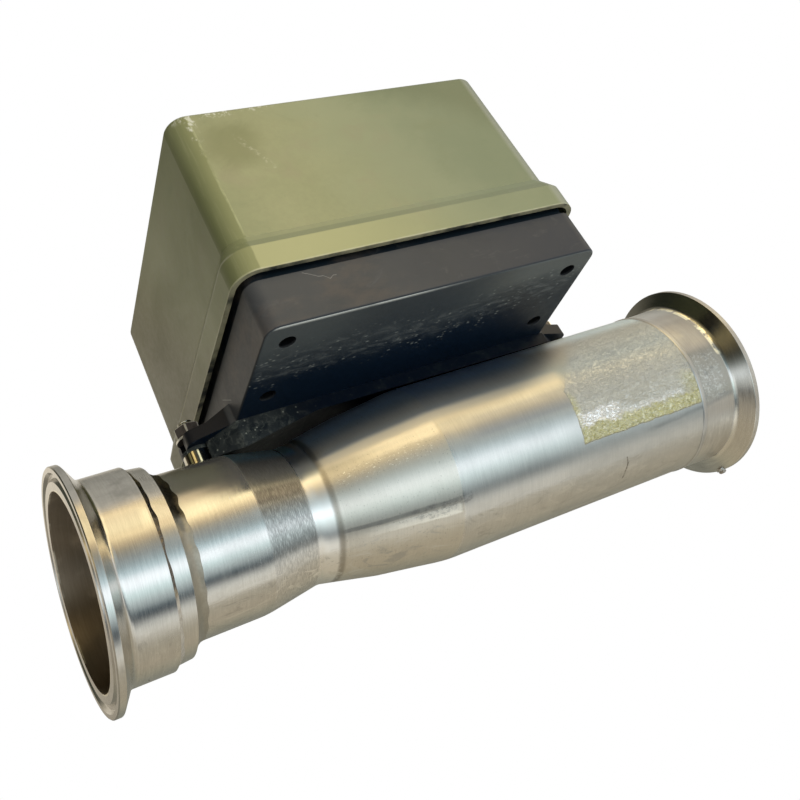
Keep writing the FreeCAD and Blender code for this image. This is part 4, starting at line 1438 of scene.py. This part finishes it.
@dataclass
class Stage:
    """World, floor, lamps and the cards that the metal mirrors."""

    floor_z: float = -0.60
    floor_r: float = 4.0
    floor_sides: int = 96
    fill: float = 0.34
    key_power: float = 14.0
    warm_lift: float = 8.0
    warm_gain: float = 0.28
    card_r: float = 0.50
    card_step: float = 2.0
    card_x: tuple[float, float] = (-1.6, 1.7)
    bands: tuple[tuple[float, float, float, float], ...] = (
        (-180, 0.26, 0.26, 0.22), (-160, 0.30, 0.30, 0.25), (-145, 0.42, 0.40, 0.31),
        (-128, 0.54, 0.48, 0.37), (-104, 0.54, 0.50, 0.40), (-96, 0.60, 0.57, 0.48),
        (-90, 0.84, 0.81, 0.72), (-82, 0.98, 0.98, 0.92), (-76, 0.86, 0.88, 0.84),
        (-71, 0.50, 0.53, 0.53), (-67, 0.10, 0.12, 0.14), (-61, 0.06, 0.09, 0.12),
        (-56, 0.42, 0.50, 0.53), (-50, 0.66, 0.78, 0.82), (-41, 1.00, 1.28, 1.34),
        (-33, 1.62, 1.78, 1.95), (-27, 1.60, 1.74, 1.90), (-20, 0.82, 1.06, 1.18),
        (-13, 0.50, 0.64, 0.70), (-4, 0.40, 0.44, 0.44), (4, 0.48, 0.44, 0.34),
        (11, 0.86, 0.68, 0.42), (18, 1.55, 1.25, 0.74), (26, 1.80, 1.55, 0.95),
        (37, 1.75, 1.48, 0.92), (47, 1.40, 1.12, 0.69), (57, 0.95, 0.78, 0.52),
        (67, 0.62, 0.56, 0.45), (84, 0.54, 0.50, 0.44), (110, 0.46, 0.43, 0.36),
        (132, 0.42, 0.39, 0.32), (145, 0.80, 0.76, 0.68), (155, 0.85, 0.82, 0.74),
        (166, 0.42, 0.41, 0.36), (180, 0.26, 0.26, 0.22))
    end_bands: tuple[tuple[float, float, float, float], ...] = (
        (-180, 0.24, 0.22, 0.18), (-152, 0.26, 0.25, 0.20), (-138, 0.38, 0.35, 0.27),
        (-110, 0.46, 0.41, 0.32), (-88, 0.42, 0.39, 0.33), (-70, 0.12, 0.12, 0.12),
        (-55, 0.55, 0.60, 0.62), (-35, 1.30, 1.40, 1.45), (-20, 0.60, 0.66, 0.68),
        (0, 0.20, 0.19, 0.16), (18, 0.60, 0.48, 0.28), (30, 1.10, 0.90, 0.52),
        (42, 0.35, 0.30, 0.18), (60, 0.08, 0.085, 0.06), (100, 0.07, 0.08, 0.06),
        (122, 0.09, 0.09, 0.07), (134, 0.60, 0.55, 0.44), (147, 0.88, 0.80, 0.66),
        (160, 0.60, 0.54, 0.44), (180, 0.30, 0.27, 0.21))
    end_glow: tuple[float, float, float] = (0.20, 0.175, 0.14)

    def world(self) -> None:
        """White for the camera and for mirrored and refracted rays, plain fill for the rest."""
        world = bpy.data.worlds.new("studio")
        bpy.context.scene.world = world
        world.use_nodes = True
        tree = world.node_tree
        tree.nodes.clear()
        path = tree.nodes.new("ShaderNodeLightPath")
        seen = path.outputs["Is Camera Ray"]
        for name in ("Is Glossy Ray", "Is Transmission Ray"):
            either = tree.nodes.new("ShaderNodeMath")
            either.operation = "MAXIMUM"
            tree.links.new(seen, either.inputs[0])
            tree.links.new(path.outputs[name], either.inputs[1])
            seen = either.outputs[0]
        level = tree.nodes.new("ShaderNodeMapRange")
        level.inputs["To Min"].default_value = self.fill
        level.inputs["To Max"].default_value = 1.0
        tree.links.new(seen, level.inputs["Value"])
        back = tree.nodes.new("ShaderNodeBackground")
        back.inputs["Color"].default_value = (1, 1, 1, 1)
        tree.links.new(level.outputs[0], back.inputs["Strength"])
        out = tree.nodes.new("ShaderNodeOutputWorld")
        tree.links.new(back.outputs[0], out.inputs[0])

    def floor(self) -> None:
        """Plain pale disc under the meter that fades to white far out."""
        turn = np.linspace(0, 2 * math.pi, self.floor_sides, endpoint=False)
        ring = np.stack([self.floor_r * np.cos(turn), self.floor_r * np.sin(turn),
                         np.full(self.floor_sides, self.floor_z)], -1)
        mesh = bpy.data.meshes.new("floor")
        mesh.from_pydata(ring.tolist(), [], [list(range(self.floor_sides))])
        g = Graph("floor_look")
        x, y, _ = g.parts(g.point)
        flat = g.field("ShaderNodeCombineXYZ", None, {0: x, 1: y})
        reach = g.field("ShaderNodeVectorMath", {"operation": "LENGTH"}, {0: flat}, "Value")
        tone = g.mix((0.80, 0.78, 0.73), (0.76, 0.74, 0.69), g.noise(3))
        matt = g.field("ShaderNodeBsdfDiffuse", None, {"Color": tone})
        white = g.field("ShaderNodeEmission", None, {"Color": (1.0, 1.0, 1.0)})
        path = g.put("ShaderNodeLightPath").outputs
        seen = (Field(g, path["Is Camera Ray"]) | Field(g, path["Is Glossy Ray"])
                | Field(g, path["Is Transmission Ray"]))
        shader = g.field("ShaderNodeMixShader", None,
                         {0: reach.span(0.3, 1.2) * seen, 1: matt, 2: white})
        mesh.materials.append(g.finish(shader))
        disc = bpy.data.objects.new("floor", mesh)
        bpy.context.scene.collection.objects.link(disc)

    def glow_of(self, bands: Sequence[Sequence[float]], degrees: np.ndarray) -> np.ndarray:
        """Colour of the card at these angles, by straight lines between the bands."""
        table = np.array(bands)
        return np.stack([np.interp(degrees, table[:, 0], table[:, c]) for c in (1, 2, 3)], -1)

    def cards(self) -> None:
        """Round wall of glowing card about the pipe's axis, closed towards the inlet, that only
        mirrored rays meet.

        A point at turn p and place x is (x, -r cos p, r sin p). Its glow is read from the bands by
        straight lines between their angles, and turns from the end bands to the others over 0.12 m
        of x, further along where the wall hangs over the meter."""
        turn = np.radians(np.arange(-180, 180, self.card_step))
        along = np.concatenate([np.linspace(self.card_x[0], -0.35, 5), np.linspace(-0.30, 0.50, 41),
                                np.linspace(0.7, self.card_x[1], 4)])
        p, x = np.meshgrid(turn, along, indexing="ij")
        points = np.stack([x, -self.card_r * np.cos(p), self.card_r * np.sin(p)], -1).reshape(-1, 3)
        rows, columns = len(turn), len(along)
        i, j = np.meshgrid(np.arange(rows), np.arange(columns - 1), indexing="ij")
        i2 = (i + 1) % rows
        first, second = i * columns + j, i2 * columns + j
        quads = np.stack([first, first + 1, second + 1, second], -1).reshape(-1, 4)
        degrees = np.degrees(turn)
        far = ramp(x, 0.12, 0.15) * ramp(p, math.radians(-6), 0.14) * ramp(p, 1.57, -0.35)
        main = self.glow_of(self.bands, np.degrees(p) - self.warm_lift * far)
        main = main * (1 + self.warm_gain * far[..., None])
        end = self.glow_of(self.end_bands, degrees)
        above = ramp(degrees, 50, 15) * ramp(degrees, 138, -10)
        share = ramp(x, -0.06 + 0.21 * above[:, None], 0.12)[..., None]
        glow = np.ones((rows, columns, 4), np.float32)
        glow[..., :3] = end[:, None, :] * (1 - share) + main * share
        mesh = bpy.data.meshes.new("cards")
        hub, rim = np.full(rows, rows * columns), np.arange(rows)
        fan = np.stack([rim * columns, (rim + 1) % rows * columns, hub], -1)
        mesh.from_pydata(points.tolist() + [[self.card_x[0], 0.0, 0.0]], [],
                         quads.tolist() + fan.tolist())
        colours = np.concatenate([glow.reshape(-1, 4), [[*self.end_glow, 1.0]]]).astype(np.float32)
        layer = mesh.attributes.new("glow", "FLOAT_COLOR", "POINT")
        layer.data.foreach_set("color", colours.ravel())
        g = Graph("card_look")
        glowing = g.field("ShaderNodeAttribute", {"attribute_name": "glow"}, output="Color")
        mesh.materials.append(g.finish(g.field("ShaderNodeEmission", None, {"Color": glowing})))
        g.material.cycles.emission_sampling = "NONE"
        wall = bpy.data.objects.new("cards", mesh)
        bpy.context.scene.collection.objects.link(wall)
        wall.visible_camera = wall.visible_diffuse = wall.visible_shadow = False
        wall.visible_transmission = wall.visible_volume_scatter = False

    def lamp(self, name: str, place: Sequence[float], aim: Sequence[float], size: float,
             power: float, tint: Colour) -> None:
        """A square soft lamp.

        Args:
            name: the lamp's name.
            place: where it hangs.
            aim: the point it is turned to.
            size: length of its side.
            power: its power in watts.
            tint: its colour.
        """
        data = bpy.data.lights.new(name, "AREA")
        data.shape = "SQUARE"
        data.size, data.energy, data.color = size, power, tint
        lamp = bpy.data.objects.new(name, data)
        lamp.location = place
        lamp.rotation_euler = (Vector(aim) - Vector(place)).to_track_quat("-Z", "Y").to_euler()
        lamp.visible_glossy = False
        bpy.context.scene.collection.objects.link(lamp)

    def build(self) -> None:
        """Set up the whole stage."""
        self.world()
        self.floor()
        self.cards()
        self.lamp("key", (0.35, -1.35, 0.05), (0.15, 0, 0.06), 1.1, self.key_power,
                  (1.0, 0.985, 0.94))
        self.lamp("back", (0.1, 1.3, 0.7), (0.15, 0, 0.05), 1.2, self.key_power * 0.6,
                  (1.0, 0.99, 0.97))
        log.info("stage: world, floor, cards and lamps")


@dataclass
class PhotoCamera:
    """Camera that sees the meter from below and from the inlet, as the photograph does."""

    place: tuple[float, float, float] = (-0.0621161, -0.377963, -0.1350615)
    right: tuple[float, float, float] = (0.8591069, -0.2683386, -0.4358093)
    down: tuple[float, float, float] = (-0.1916785, 0.6208554, -0.7601302)
    ahead: tuple[float, float, float] = (0.4745469, 0.7365683, 0.4819464)
    sensor: float = 36.0
    clip: tuple[float, float] = (0.01, 50.0)
    lens: float = 46.99145
    shift: tuple[float, float] = (0.0293114, -0.1808266)

    def build(self) -> None:
        """Make the camera and choose it."""
        data = bpy.data.cameras.new("camera")
        data.sensor_width, data.lens = self.sensor, self.lens
        data.shift_x, data.shift_y = self.shift
        data.clip_start, data.clip_end = self.clip
        camera = bpy.data.objects.new("camera", data)
        bpy.context.scene.collection.objects.link(camera)
        turn = Matrix((self.right, [-v for v in self.down], [-v for v in self.ahead])).transposed()
        camera.matrix_world = Matrix.Translation(self.place) @ turn.to_4x4()
        bpy.context.scene.camera = camera
        log.info("camera: lens %.2f mm", self.lens)


def write_sizes() -> None:
    """Bring the view layer up to date, twice."""
    bpy.context.view_layer.update()
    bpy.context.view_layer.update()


def main() -> None:
    """Build every assembly in order, then the stage and the camera."""
    logging.basicConfig(level=logging.INFO, format="%(name)s %(message)s")
    bpy.context.scene.view_settings.view_transform = "Standard"
    for group in (MeterTube(), WeldSeams(), Mounting(), ConverterBox(), FlowSensor(),
                  Electronics()):
        group.build()
    Stage().build()
    PhotoCamera().build()
    write_sizes()


if __name__ == "__main__":
    main()
